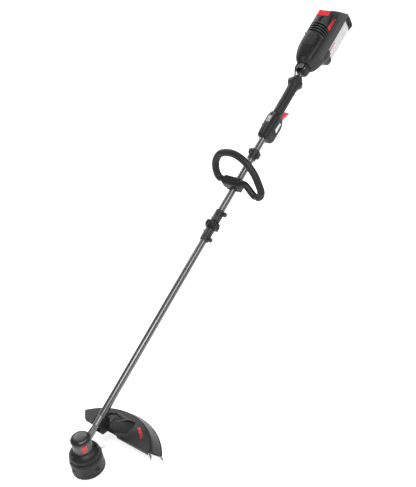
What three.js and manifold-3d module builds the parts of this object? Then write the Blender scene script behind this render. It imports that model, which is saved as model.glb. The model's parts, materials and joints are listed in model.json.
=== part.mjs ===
import * as THREE from 'three';
import { mergeVertices } from 'three/addons/utils/BufferGeometryUtils.js';
import Module from 'manifold-3d';

// Straight-shaft battery string trimmer, millimetres, +Z up, cutting head axis on Z,
// foot of the bump knob at the origin, shaft rising towards +X, operator's left is -Y.

const tiltFromHead = 62;
const shaftRootZ = 101;
const tubeRadius = 13;
const tubeBore = 11.4;
const gap = 0.3;

const wasm = await Module();
wasm.setup();

const plastic = { color: 0x2c2d2f, roughness: 0.62, metalness: 0.0 };
const darkPlastic = { color: 0x1d1e20, roughness: 0.7, metalness: 0.0 };
const rubber = { color: 0x242526, roughness: 0.85, metalness: 0.0 };
const castAlloy = { color: 0x77797c, roughness: 0.42, metalness: 0.9 };
const caseAlloy = { color: 0x6a6d72, roughness: 0.35, metalness: 0.9 };
const tubeAlloy = { color: 0x5a5d62, roughness: 0.35, metalness: 0.9 };
const steel = { color: 0x8f9296, roughness: 0.35, metalness: 1.0 };
const redPlastic = { color: 0xd9222a, roughness: 0.45, metalness: 0.0 };
const whitePlastic = { color: 0xe8e8e6, roughness: 0.5, metalness: 0.0 };
const silverPlastic = { color: 0xb9bcc0, roughness: 0.35, metalness: 0.3 };
const copper = { color: 0xa8683c, roughness: 0.4, metalness: 0.8 };
const boardGreen = { color: 0x1f5c3a, roughness: 0.5, metalness: 0.0 };
const lineNylon = { color: 0x3b3d40, roughness: 0.45, metalness: 0.0 };

// Helpers

function welded(geometry) {
  const bare = geometry.clone();
  bare.deleteAttribute('normal');
  bare.deleteAttribute('uv');
  const merged = mergeVertices(bare, 1e-4);
  const index = merged.index.array;
  const kept = [];
  for (let i = 0; i < index.length; i += 3) {
    const a = index[i];
    const b = index[i + 1];
    const c = index[i + 2];
    if (a !== b && b !== c && c !== a) kept.push(a, b, c);
  }
  merged.setIndex(kept);
  return merged;
}

function signedVolume(position, index) {
  let total = 0;
  const a = new THREE.Vector3();
  const b = new THREE.Vector3();
  const c = new THREE.Vector3();
  for (let i = 0; i < index.length; i += 3) {
    a.fromArray(position, index[i] * 3);
    b.fromArray(position, index[i + 1] * 3);
    c.fromArray(position, index[i + 2] * 3);
    total += a.dot(b.cross(c)) / 6;
  }
  return total;
}

function body(geometry) {
  const g = welded(geometry);
  const position = Float32Array.from(g.attributes.position.array);
  const index = Uint32Array.from(g.index.array);
  if (signedVolume(position, index) < 0) {
    for (let i = 0; i < index.length; i += 3) {
      const swap = index[i + 1];
      index[i + 1] = index[i + 2];
      index[i + 2] = swap;
    }
  }
  return new wasm.Manifold(new wasm.Mesh({ numProp: 3, vertProperties: position, triVerts: index }));
}

function surface(manifold) {
  const mesh = manifold.getMesh();
  const g = new THREE.BufferGeometry();
  g.setAttribute('position', new THREE.Float32BufferAttribute(Array.from(mesh.vertProperties), 3));
  g.setIndex(Array.from(mesh.triVerts));
  g.computeVertexNormals();
  return g;
}

const union = (...parts) => parts.map(body).reduce((a, b) => a.add(b));
const cut = (whole, ...tools) => tools.map(body).reduce((a, b) => a.subtract(b), whole);

const group = new THREE.Group();
group.name = 'string_trimmer';

function add(name, shape, look) {
  const geometry = surface(shape.isBufferGeometry ? body(shape) : shape);
  const mesh = new THREE.Mesh(geometry, new THREE.MeshStandardMaterial(look));
  mesh.name = name;
  group.add(mesh);
}

// Turned solid about Z from [radius, height] pairs.
function turned(profile, segments = 32) {
  const points = profile.map(([r, z]) => new THREE.Vector2(r, z));
  return new THREE.LatheGeometry(points, segments).rotateX(Math.PI / 2);
}

function tubeProfile(inner, outer, low, high) {
  return [[inner, low], [outer, low], [outer, high], [inner, high], [inner, low]];
}

const rod = (radius, low, high, segments = 24) =>
  turned([[0, low], [radius, low], [radius, high], [0, high]], segments);

const ring = (inner, outer, low, high, segments = 32) =>
  turned(tubeProfile(inner, outer, low, high), segments);

function box(x0, x1, y0, y1, z0, z1) {
  return new THREE.BoxGeometry(x1 - x0, y1 - y0, z1 - z0)
    .translate((x0 + x1) / 2, (y0 + y1) / 2, (z0 + z1) / 2);
}

function outline(points, holes = []) {
  const shape = new THREE.Shape(points.map(([x, y]) => new THREE.Vector2(x, y)));
  for (const hole of holes) shape.holes.push(new THREE.Path(hole.map(([x, y]) => new THREE.Vector2(x, y))));
  return shape;
}

function circlePoints(cx, cy, radius, count) {
  const points = [];
  for (let i = 0; i < count; i += 1) {
    const t = (i / count) * Math.PI * 2;
    points.push([cx + radius * Math.cos(t), cy + radius * Math.sin(t)]);
  }
  return points;
}

function roundedBox(w, top, bottom, count = 32, power = 4) {
  const points = [];
  const mid = (top + bottom) / 2;
  const half = (top - bottom) / 2;
  for (let i = 0; i < count; i += 1) {
    const t = ((i + 0.5) / count) * Math.PI * 2;
    const c = Math.cos(t);
    const s = Math.sin(t);
    points.push([
      w * Math.sign(c) * Math.abs(c) ** (2 / power),
      mid + half * Math.sign(s) * Math.abs(s) ** (2 / power),
    ]);
  }
  return points;
}

// Extrusion of an outline given in (x, z), from y0 to y1.
const across = (points, y0, y1, holes = []) =>
  new THREE.ExtrudeGeometry(outline(points, holes), { depth: y1 - y0, bevelEnabled: false })
    .rotateX(Math.PI / 2)
    .translate(0, y1, 0);

const lying = new THREE.Matrix4().makeBasis(
  new THREE.Vector3(0, 1, 0),
  new THREE.Vector3(0, 0, 1),
  new THREE.Vector3(1, 0, 0),
);

// Extrusion of an outline given in (y, z) along x.
const along = (points, x0, x1, holes = []) =>
  new THREE.ExtrudeGeometry(outline(points, holes), { depth: x1 - x0, bevelEnabled: false })
    .applyMatrix4(lying)
    .translate(x0, 0, 0);

// Skin through equal-length (y, z) rings placed at x stations, closed at both ends.
function lofted(stations) {
  const count = stations[0].points.length;
  const positions = [];
  const index = [];
  for (const { x, points } of stations) {
    for (const [y, z] of points) positions.push(x, y, z);
  }
  for (let i = 0; i + 1 < stations.length; i += 1) {
    for (let j = 0; j < count; j += 1) {
      const a = i * count + j;
      const b = i * count + ((j + 1) % count);
      index.push(a, b, b + count, a, b + count, a + count);
    }
  }
  for (const [row, x] of [[0, stations[0].x], [stations.length - 1, stations.at(-1).x]]) {
    const centre = positions.length / 3;
    const points = stations[row].points;
    const midY = points.reduce((sum, p) => sum + p[0], 0) / count;
    const midZ = points.reduce((sum, p) => sum + p[1], 0) / count;
    positions.push(x, midY, midZ);
    for (let j = 0; j < count; j += 1) {
      const a = row * count + j;
      const b = row * count + ((j + 1) % count);
      if (row === 0) index.push(b, a, centre);
      else index.push(a, b, centre);
    }
  }
  const g = new THREE.BufferGeometry();
  g.setAttribute('position', new THREE.Float32BufferAttribute(positions, 3));
  g.setIndex(index);
  return g;
}

function swept(points, radius, sides = 16, steps = 48) {
  const path = new THREE.CatmullRomCurve3(points.map((p) => new THREE.Vector3(...p)), false, 'centripetal');
  const shape = outline(circlePoints(0, 0, radius, sides));
  return new THREE.ExtrudeGeometry(shape, { steps, extrudePath: path, bevelEnabled: false });
}

// Axis along x instead of z.
const layDown = (geometry) => geometry.rotateY(Math.PI / 2);
// Axis along y instead of z.
const layAcross = (geometry) => geometry.rotateX(-Math.PI / 2);

// From the shaft's own frame (x along the shaft, z square to it and up) to the world.
const shaftTurn = THREE.MathUtils.degToRad(tiltFromHead - 90);
const shaftFrame = new THREE.Matrix4()
  .makeTranslation(0, 0, shaftRootZ)
  .multiply(new THREE.Matrix4().makeRotationY(shaftTurn));
const onShaft = (shape) => {
  if (shape.isBufferGeometry) return shape.clone().applyMatrix4(shaftFrame);
  return body(surface(shape).applyMatrix4(shaftFrame));
};

function hexBolt(shankRadius, headRadius, headHeight, length) {
  return turned([[0, 0], [shankRadius, 0], [shankRadius, length], [headRadius, length],
    [headRadius, length + headHeight], [0, length + headHeight]], 12);
}

// Cutting head

const head = {
  radius: 57.5,
  wall: 5,
  housingLow: 27,
  housingTop: 70,
  lineZ: 57,
  lineAzimuth: -18,
  caseRadius: 34,
  caseLow: 93,
  caseTop: 141.5,
  capTop: 158,
};

const radial = (geometry, azimuth) => geometry.rotateZ(THREE.MathUtils.degToRad(azimuth));
const eyeletAngles = [head.lineAzimuth, head.lineAzimuth + 180];

add('bump_knob', turned([[0, 0], [15, 0], [24, 1.8], [28.6, 5], [30, 9.5], [30, 16], [8.6, 16],
  [8.6, 34], [0, 34]], 40), plastic);
add('ring_cover', turned([[33, 9.5], [53, 9.5], [55, 8], [57.5, 8], [59, 9.5], [59, 26.7], [54.5, 26.7],
  [54.5, 13], [33, 13], [33, 9.5]], 48), darkPlastic);

const housingProfile = [[head.radius - head.wall, head.housingLow], [head.radius + 0.8, head.housingLow],
  [head.radius, 50], [head.radius - 1.5, 62], [head.radius - 3.5, 68], [head.radius - 6, head.housingTop],
  [5.3, head.housingTop], [5.3, 63.5], [head.radius - head.wall, 63.5],
  [head.radius - head.wall, head.housingLow]];
const eyeletHole = (azimuth) =>
  radial(layDown(rod(4.8, 48, 62, 16)).translate(0, 0, head.lineZ), azimuth);
add('spool_housing', cut(body(turned(housingProfile, 48)), ...eyeletAngles.map(eyeletHole)), plastic);

eyeletAngles.forEach((azimuth, i) => {
  const eyelet = layDown(turned([[1.8, 51], [4.5, 51], [4.5, head.radius + 0.3], [5.8, head.radius + 0.3],
    [5.8, head.radius + 1.4], [3, head.radius + 1.4], [1.8, head.radius + 0.2], [1.8, 51]], 20));
  add(`eyelet_${i + 1}`, radial(eyelet.translate(0, 0, head.lineZ), azimuth), steel);
});
const tailRod = layDown(rod(1.2, 46, 76, 12)).translate(0, 0, head.lineZ);
add('line_tail', radial(tailRod, head.lineAzimuth), lineNylon);

add('spool', turned([[9, 26], [48, 26], [48, 28.2], [18, 28.2], [18, 58.4], [48, 58.4], [48, 60.6],
  [9, 60.6], [9, 26]], 40), darkPlastic);
add('line_winding', turned([[18.3, 28.6], [43, 28.6], [45, 31], [45, 55.5], [43, 58], [18.3, 58],
  [18.3, 28.6]], 40), lineNylon);

function coil(radius, wire, low, high, turns) {
  const points = [];
  const count = turns * 10;
  for (let i = 0; i <= count; i += 1) {
    const t = (i / 10) * Math.PI * 2;
    points.push([radius * Math.cos(t), radius * Math.sin(t), low + ((high - low) * i) / count]);
  }
  return swept(points, wire, 6, count);
}
add('head_spring', coil(6.2, 0.8, 35.6, 58.2, 5), steel);

add('output_shaft', turned([[0, 60], [4.9, 60], [4.9, 152], [0, 152]], 24), steel);
add('cone_cover', cut(
  union(
    turned([[34.5, 99.6], [34.5, 96.5], [44, 89], [50.6, 79], [50.6, 73], [55, 73], [55, 80],
      [52.5, 86], [46, 93], [38, 98.6], [36.5, 99.6], [34.5, 99.6]], 48),
    ...[-40, 163].map((azimuth) => radial(rod(7.5, 87, 94.2, 16).translate(41.5, 0, 0), azimuth)),
  ),
  ...[-40, 163].map((azimuth) => radial(rod(5.4, 90.5, 110, 16).translate(41.5, 0, 0), azimuth)),
  ...[-40, 163].map((azimuth) => radial(rod(2.3, 80, 95, 12).translate(41.5, 0, 0), azimuth)),
  rod(34.4, 80, 110, 48),
), plastic);
[-40, 163].forEach((azimuth, i) => {
  const screw = turned([[0, 82], [2, 82], [2, 90.8], [4.4, 90.8], [4.4, 94], [0, 94]], 12);
  add(`cover_screw_${i + 1}`, radial(screw.translate(41.5, 0, 0), azimuth), steel);
});

add('motor_case', turned([[11, 93], [34, 93], [34, head.caseTop], [31, head.caseTop], [31, 97],
  [14, 97], [14, 104], [11, 104], [11, 93]], 48), caseAlloy);
add('motor_cap', turned([[0, 158], [18, 157.4], [26, 155.6], [31, 152.2], [34, 148.6], [35.4, 145],
  [35.4, 141.8], [32, 141.8], [32, 144], [28, 149.5], [14, 152.8], [14, 145], [11, 145], [11, 153.5],
  [0, 153.5]], 48), caseAlloy);
add('bearing_lower', ring(5.2, 10.7, 97.5, 103.5, 24), steel);
add('bearing_upper', ring(5.2, 10.7, 145.5, 151.5, 24), steel);
add('rotor', ring(5.2, 21, 108, 132, 32), steel);

function statorOutline(outer, slotFloor, inner, teeth) {
  const hole = [];
  const step = (Math.PI * 2) / teeth;
  for (let i = 0; i < teeth; i += 1) {
    for (const [part, radius] of [[-0.3, inner], [0.3, inner], [0.3, slotFloor], [0.7, slotFloor]]) {
      const t = (i + part) * step;
      hole.push([radius * Math.cos(t), radius * Math.sin(t)]);
    }
  }
  return outline(circlePoints(0, 0, outer, 36), [hole]);
}
const statorShape = statorOutline(30.6, 27.5, 21.8, 12);
add('stator', new THREE.ExtrudeGeometry(statorShape, { depth: 26, bevelEnabled: false })
  .translate(0, 0, 107), copper);

// Motor bracket

const bracketStem = { radius: 13.3, low: 84, shoulder: 122, plugEnd: 162, plugRadius: 11 };
const bracketArm = (x0, z0, x1, z1, thick, halfWidth) => {
  const dx = x1 - x0;
  const dz = z1 - z0;
  const length = Math.hypot(dx, dz);
  const nx = (-dz / length) * (thick / 2);
  const nz = (dx / length) * (thick / 2);
  return across([[x0 + nx, z0 + nz], [x0 - nx, z0 - nz], [x1 - nx, z1 - nz], [x1 + nx, z1 + nz]],
    -halfWidth, halfWidth);
};
add('motor_bracket', cut(
  union(
    onShaft(layDown(turned([[0, 18], [10.8, 18], [10.8, 78], [bracketStem.radius, bracketStem.low],
      [bracketStem.radius, bracketStem.shoulder], [bracketStem.plugRadius, bracketStem.shoulder],
      [bracketStem.plugRadius, bracketStem.plugEnd], [0, bracketStem.plugEnd]], 32))),
    bracketArm(28, 132, 84, 150, 8, 6),
    across([[28, 112], [28, 131], [88, 150], [88, 142]], -3, 3),
  ),
  rod(head.caseRadius + gap, 80, head.caseTop + 0.2, 48),
  rod(35.7, head.caseTop - 0.1, 175, 48),
), castAlloy);

// Guard

const guard = { centreX: -9, centreY: -33, ridge: 214, rim: 245, top: 100, low: 54, skin: 3 };
const shoeOutline = [[70, -8], [70, -34], [87, -47], [100, -45], [114, -31], [131, -22], [131, -8]];
const shoeClearance = [[66, -8], [66, -35.5], [87, -47.4], [100.4, -45.4], [114.3, -31.4],
  [150, -20], [150, -8]];

const guardShell = turned([[60, guard.top - guard.skin], [60, guard.top], [guard.ridge - 5, guard.top],
  [guard.ridge + 1, guard.top - 1.6], [guard.ridge + 5, guard.top - 6.5], [guard.rim, guard.low],
  [guard.rim - 3, guard.low], [guard.ridge + 1.6, guard.top - 7.4], [guard.ridge - 1.4, guard.top - 4],
  [guard.ridge - 5, guard.top - guard.skin], [60, guard.top - guard.skin]], 96)
  .translate(guard.centreX, guard.centreY, 0);
const planPrism = (points, z0, z1) =>
  new THREE.ExtrudeGeometry(outline(points), { depth: z1 - z0, bevelEnabled: false }).translate(0, 0, z0);
const guardPlan = planPrism([[102, -206], [300, -302], [300, 295], [102, 97]], 30, 130);
const webBase = [[107, 20], [165, 27], [187, 0], [182, -80], [128, -86], [108, -42]];
const webCrown = [[118, 23], [156, 24], [173, -5], [167, -63], [146, -40], [121, -15]];
const standing = (points) => points.map(([x, y]) => [y, -x]);
const guardWeb = lofted([
  { x: 97.2, points: standing(webBase) },
  { x: 101, points: standing(webBase) },
  { x: 121, points: standing(webCrown) },
]).rotateY(-Math.PI / 2);
const tongueOutline = [[103, 97.2], [103, 103], [122, 128], [132, 128], [150, 110], [150, 97.2]];
const guardTongue = across(tongueOutline, -19, 19);
const guardHook = rod(4, 56, 66, 12).translate(206, -134, 0);
add('guard', body(guardShell).intersect(body(guardPlan))
  .add(body(guardWeb)).add(body(guardTongue)).add(body(guardHook))
  .subtract(body(onShaft(across(shoeClearance, -20.4, 20.4))))
  .subtract(body(onShaft(layDown(rod(18.5, 60, 200, 24))))), plastic);

const boltHoles = [[82, -27], [108, -26]];
add('guard_shoe', onShaft(cut(
  union(
    across(shoeOutline, -20, 20),
    across([[80, -12], [84, 4], [118, 4], [124, -12]], -19, -13),
    across([[80, -12], [84, 4], [118, 4], [124, -12]], 13, 19),
  ),
  layDown(rod(13.7, 60, 160, 28)),
  ...boltHoles.map(([s, u]) => layAcross(rod(2.8, -30, 30, 12)).translate(s, 0, u)),
  ...boltHoles.map(([s, u]) => layAcross(rod(5, -30, -16.6, 16)).translate(s, 0, u)),
)), darkPlastic);
boltHoles.forEach(([s, u], i) => {
  const bolt = turned([[0, -16.9], [4.6, -16.9], [4.6, -20.5], [0, -20.5]], 12);
  const shank = rod(2.4, -17, 19.6, 12);
  const whole = surface(union(layAcross(bolt), layAcross(shank)));
  add(`guard_bolt_${i + 1}`, onShaft(whole.translate(s, 0, u)), steel);
});

// Line cutter: a strip under the open end of the guard with two teeth pointing down.
const cutterTurn = Math.atan2(-96, 198);
const cutterStrip = across([[2, 86.5], [2, 84], [7, 79.6], [39.5, 41.5], [41.5, 41.5], [8, 81.6]], -2, 12);
const cutterTeeth = [
  across([[2.2, 86], [2.2, 70], [4.4, 48], [10.5, 70], [7.4, 80.6]], -2, 0),
  across([[33.5, 49.2], [39.5, 34], [45.6, 12], [45.4, 36], [41.3, 41.7]], -2, 0),
];
const cutterSolid = surface(union(cutterStrip, ...cutterTeeth));
add('line_cutter', cutterSolid.rotateZ(cutterTurn).translate(104, -203, 9), steel);

// Tubes and split coupling

const coupler = { low: 847, lowerEnd: 896, nutLow: 898, nutHigh: 930, upperStart: 932, high: 979 };
const lowerTubeSolid = ring(tubeBore, tubeRadius, bracketStem.shoulder + gap, 931.5, 32);
add('lower_tube', onShaft(layDown(lowerTubeSolid)), tubeAlloy);
add('upper_tube', onShaft(layDown(ring(tubeBore, tubeRadius, 934, 1716, 32))), tubeAlloy);

function clampSleeve(low, high, earAt, pinAt) {
  return cut(
    union(
      layDown(rod(17.5, low, high, 32)),
      box(earAt - 7, earAt + 7, -31, -10, -8, 8),
      layAcross(rod(3.2, 12, 22, 12)).translate(pinAt, 0, 3),
    ),
    layDown(rod(tubeRadius + gap, low - 5, high + 5, 32)),
    rod(2.8, -20, 20, 12).translate(earAt, -24.5, 0),
  );
}
add('coupler_lower', onShaft(clampSleeve(coupler.low, coupler.lowerEnd, 856, 884)), plastic);
add('coupler_upper', onShaft(clampSleeve(coupler.upperStart, coupler.high, 969, 945)), plastic);
[856, 969].forEach((s, i) => {
  const bolt = hexBolt(2.4, 4.8, 3.4, 18).translate(s, -24.5, -9.6);
  add(`coupler_bolt_${i + 1}`, onShaft(bolt), steel);
});
const nutOutline = [];
for (let i = 0; i < 36; i += 1) {
  const t = (i / 36) * Math.PI * 2;
  const radius = 26.5 + 4.5 * Math.cos(t * 6);
  nutOutline.push([radius * Math.cos(t), radius * Math.sin(t)]);
}
add('coupler_nut', onShaft(cut(
  union(
    along(nutOutline, coupler.nutLow + 4, coupler.nutHigh - 4),
    layDown(rod(20, coupler.nutLow, coupler.nutHigh, 32)),
  ),
  layDown(rod(tubeRadius + gap, 880, 950, 32)),
)), darkPlastic);

// Front loop handle

const handle = { at: 1098, lean: 36, barRadius: 13, gripRadius: 13.5, barU: 27 };
const leanSin = Math.sin(THREE.MathUtils.degToRad(handle.lean));
const leanCos = Math.cos(THREE.MathUtils.degToRad(handle.lean));
// Loop points as [left, up] in the leaning plane of the handle.
const loopPoint = ([left, up]) => [handle.at + up * leanSin, -left, handle.barU + up * leanCos];
const loopPath = [[-56.5, 0], [-65, 4], [-75, 17], [-81, 42], [-76, 74], [-50, 103], [4, 111], [58, 90],
  [98, 50], [122, 4], [128, -16], [124, -31], [117, -38], [111, -39]];
const strutPath = [[40, 0], [54, -1], [66, -9], [78, -21], [90, -32], [97, -37], [103.5, -38.8]];
add('loop_grip', onShaft(swept(loopPath.map(loopPoint), handle.gripRadius, 14, 72)), rubber);
add('handle_frame', onShaft(cut(
  union(
    layAcross(rod(handle.barRadius, -42, 50.5, 20)).translate(handle.at, 0, handle.barU),
    swept(strutPath.map(loopPoint), handle.barRadius, 14, 20),
    box(handle.at - 17, handle.at + 17, -32, 32, 2, 33),
  ),
  layDown(rod(tubeRadius + gap, 1000, 1200, 32)),
  ...[-22, 22].map((y) => rod(3, -30, 60, 12).translate(handle.at, y, 0)),
  ...[-22, 22].map((y) => rod(6, 36, 60, 12).translate(handle.at, y, 0)),
)), plastic);
add('handle_clamp', onShaft(cut(
  union(
    box(handle.at - 17, handle.at + 17, -30, 30, -12, 1.2),
    layDown(rod(18.5, handle.at - 17, handle.at + 17, 32)),
  ),
  box(handle.at - 30, handle.at + 30, -40, 40, 1.2, 40),
  layDown(rod(tubeRadius + gap, 1000, 1200, 32)),
  ...[-22, 22].map((y) => rod(3, -30, 60, 12).translate(handle.at, y, 0)),
)), darkPlastic);
[-22, 22].forEach((y, i) => {
  const bolt = hexBolt(2.6, 5.4, 3.6, 54).translate(handle.at, y, -17.5);
  add(`handle_bolt_${i + 1}`, onShaft(bolt), steel);
});

// Hanger

const hanger = { low: 1221, high: 1263, eyeAt: 1241, eyeU: 26 };
add('hanger_clamp', onShaft(cut(
  union(
    layDown(rod(17.5, hanger.low, hanger.high, 32)),
    layAcross(rod(12.5, -4, 4, 28)).translate(hanger.eyeAt, 0, hanger.eyeU),
    box(hanger.eyeAt - 12, hanger.eyeAt + 12, -27, -8, -8, 8),
  ),
  layDown(rod(tubeRadius + gap, 1200, 1300, 32)),
  layAcross(rod(7, -10, 10, 24)).translate(hanger.eyeAt, 0, hanger.eyeU),
  rod(2.8, -20, 20, 12).translate(hanger.eyeAt, -21.5, 0),
)), plastic);
add('hanger_screw', onShaft(hexBolt(2.4, 4.8, 3.2, 18).translate(hanger.eyeAt, -21.5, -9.6)), steel);

// Switch housing

const switchSpan = { low: 1321, high: 1436 };
const switchStations = [
  [switchSpan.low, 19, 18, -27], [1327, 24, 23, -38], [1345, 26.5, 25, -45],
  [1400, 27.5, 27, -45], [1420, 26, 26, -38], [switchSpan.high, 21.5, 22.5, -26],
];
const switchSolid = (inset) => lofted(switchStations.map(([x, w, top, bottom], i, all) => ({
  x: x + (i === 0 ? inset : 0) - (i === all.length - 1 ? inset : 0),
  points: roundedBox(w - inset, top - inset, bottom + inset, 24, 4),
})));
const switchHalf = (y0, y1) => body(switchSolid(0))
  .subtract(body(switchSolid(3)))
  .intersect(body(box(1300, 1450, y0, y1, -60, 60)))
  .subtract(body(layDown(rod(tubeRadius + gap, 1300, 1450, 32))))
  .subtract(body(box(1418, 1445, -8.5, 8.5, -60, -13.4)))
  .subtract(body(box(1382.5, 1414.5, -5.5, 13.5, 18, 60)));
// The two shells meet on the mid plane; the mode panel opening lies on the top face.
add('switch_shell_left', onShaft(switchHalf(-60, -0.15)), plastic);
add('switch_shell_right', onShaft(switchHalf(0.15, 60).subtract(body(
  layAcross(rod(7.3, 0, 60, 16)).translate(1404, 0, -4),
))), plastic);
add('mode_panel', onShaft(cut(
  body(box(1383, 1414, -5, 13, 22.5, 28.2)),
  rod(5.6, 10, 40, 16).translate(1402, 4, 0),
)), silverPlastic);
add('mode_button', onShaft(rod(5.2, 21, 29.6, 16).translate(1402, 4, 0)), darkPlastic);
add('lockoff_button', onShaft(layAcross(rod(6.8, 18, 29, 16)).translate(1404, 0, -4)), redPlastic);
const triggerPivot = { s: 1428, u: -22 };
add('trigger', onShaft(cut(
  body(across([[1422, -17], [1421, -27], [1428, -34], [1442, -40], [1460, -46.5], [1479, -52], [1483, -50],
    [1476, -40], [1464, -32], [1450, -27.5], [1438, -23.2], [1433, -17], [1429, -15.5]], -8, 8)),
  layAcross(rod(2.3, -20, 20, 12)).translate(triggerPivot.s, 0, triggerPivot.u),
)), redPlastic);
const triggerPin = layAcross(rod(2, -7.8, 7.8, 12)).translate(triggerPivot.s, 0, triggerPivot.u);
add('trigger_pin', onShaft(triggerPin), steel);
add('microswitch', onShaft(box(1384, 1410, -5.5, 5.5, -28, -16)), darkPlastic);

// Rear grip

add('rear_grip', onShaft(layDown(turned([[13.3, 1437], [19, 1437], [20.5, 1441], [20.5, 1500], [21, 1560],
  [22, 1574], [25, 1581], [31.5, 1588], [33, 1594], [32, 1603], [24.5, 1609], [21, 1613], [20, 1622],
  [13.3, 1622],
  [13.3, 1437]], 32))), rubber);

// Rear housing and battery

add('neck_clamp', onShaft(cut(
  body(lofted([
    { x: 1643, points: roundedBox(17, 17, -17, 24, 3) },
    { x: 1652, points: roundedBox(22, 23, -22, 24, 4) },
    { x: 1672, points: roundedBox(24, 25, -25, 24, 4) },
    { x: 1678, points: roundedBox(24, 25, -25, 24, 4) },
  ])),
  layDown(rod(tubeRadius + gap, 1600, 1750, 32)),
  layAcross(rod(3.6, -50, 50, 12)).translate(1660, 0, 18),
)), castAlloy);
add('neck_screw', onShaft(layAcross(turned([[0, -21.5], [3.2, -21.5], [3.2, 21.5], [0, 21.5]], 12))
  .translate(1660, 0, 18)), steel);
add('cable_conduit', onShaft(swept([
  [1623.2, 10.6, 12.6], [1627, 11.4, 14.2], [1634, 13.6, 18.6], [1642, 15.6, 22.6],
  [1650, 16.6, 28.5], [1660, 16.6, 29.8], [1672, 16, 29.6], [1679, 15, 29]], 3.1, 10, 20)), darkPlastic);

const housing = { bayFrom: 1794, bayU: -15 };
const housingStations = [
  [1680, 30, 36, -30], [1694, 38, 45, -36], [1716, 44.5, 52, -42], [1742, 49, 57, -50], [1766, 50, 59, -60],
  [1794, 50, 59, -60], [1880, 50, 59, -60], [2010, 50, 59, -60],
];
const housingSolid = (inset) => lofted(housingStations.map(([x, w, top, bottom], i) => ({
  x: x + (i === 0 ? inset : 0),
  points: roundedBox(w - inset, top - inset, bottom + inset, 32, 4.5),
})));
// Sloping rear end: the lower edge reaches further back than the top.
const rearCut = across([[1917, 70], [1979, -15.4], [1979, -140], [2100, -140], [2100, 70]], -80, 80);
const rearCutInner = across([[1914, 70], [1976, -15.4], [1976, -140], [2100, -140], [2100, 70]], -80, 80);
const bayCut = box(housing.bayFrom, 2100, -80, 80, -140, housing.bayU);
const bayCutInner = box(housing.bayFrom - 3, 2100, -80, 80, -140, housing.bayU + 3);
const foot = lofted([
  { x: 1752, points: roundedBox(36, -40, -58, 24, 5) },
  { x: 1768, points: roundedBox(38, -40, -88, 24, 5) },
  { x: 1793.6, points: roundedBox(39, -40, -94, 24, 5) },
]);
const housingBlock = body(housingSolid(0)).subtract(body(bayCut)).subtract(body(rearCut)).add(body(foot));
const housingHollow = body(housingSolid(3)).subtract(body(bayCutInner)).subtract(body(rearCutInner))
  .subtract(body(box(1700, 1800, -80, 80, -140, -52)));
const latchWell = box(1896, 1945, -18.4, 34.4, 46, 70);
const coverStations = [
  [1702, 20, 47.5, 38], [1716, 23, 54.5, 42], [1742, 25, 59.8, 48], [1766, 26, 61.5, 50],
  [1812, 26, 61.5, 50]];
const coverSolid = (grow) => lofted(coverStations.map(([x, w, top, bottom], i, all) => ({
  x: x - (i === 0 ? grow : 0) + (i === all.length - 1 ? grow : 0),
  points: roundedBox(w + grow, top + grow, bottom - grow, 20, 6),
})));
const shell = (y0, y1) => housingBlock.subtract(housingHollow)
  .intersect(body(box(1600, 2100, y0, y1, -140, 80)))
  .subtract(body(layDown(rod(tubeRadius + gap, 1600, 1712, 32))))
  .subtract(body(latchWell))
  .subtract(body(coverSolid(0.4)));
add('housing_left', onShaft(shell(-80, -0.15)), plastic);
add('housing_right', onShaft(shell(0.15, 80)), plastic);
add('top_cover', onShaft(coverSolid(0)), darkPlastic);
const latchOutline = [[1897, 47], [1897, 59.5], [1915, 62], [1922, 59], [1920, 47]];
add('battery_latch', onShaft(across(latchOutline, -18, 34)),
  redPlastic);
add('controller_board', onShaft(box(1724, 1788, -30, 30, 14, 18)), boardGreen);
add('terminal_block', onShaft(cut(
  body(box(1797, 1816, -20, 20, -31, -15.4)),
  ...[-12, -4, 4, 12].map((y) => box(1796, 1811, y - 1.4, y + 1.4, -33, -20)),
)), darkPlastic);

const battery = { low: 1797, cap: 1957, high: 1990, w: 40, top: -17, bottom: -88 };
add('battery_case', onShaft(cut(
  union(
    lofted([
      { x: battery.low, points: roundedBox(37, -19, -86, 24, 7) },
      { x: battery.low + 4, points: roundedBox(battery.w, battery.top, battery.bottom, 24, 7) },
      { x: battery.cap, points: roundedBox(battery.w, battery.top, battery.bottom, 24, 7) },
    ]),
  ),
  box(1790, 1817, -21, 21, -33, 0),
)), whitePlastic);
add('battery_cap', onShaft(lofted([
  { x: battery.cap + gap, points: roundedBox(battery.w + 1.5, -16, battery.bottom - 1.5, 24, 7) },
  { x: 1972, points: roundedBox(battery.w + 1.5, -16, battery.bottom - 5, 24, 7) },
  { x: 1981, points: roundedBox(battery.w + 1.5, -19, battery.bottom - 7, 24, 7) },
  { x: battery.high, points: roundedBox(battery.w - 1, -34, battery.bottom - 6, 24, 7) },
])), darkPlastic);

export default group;
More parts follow.
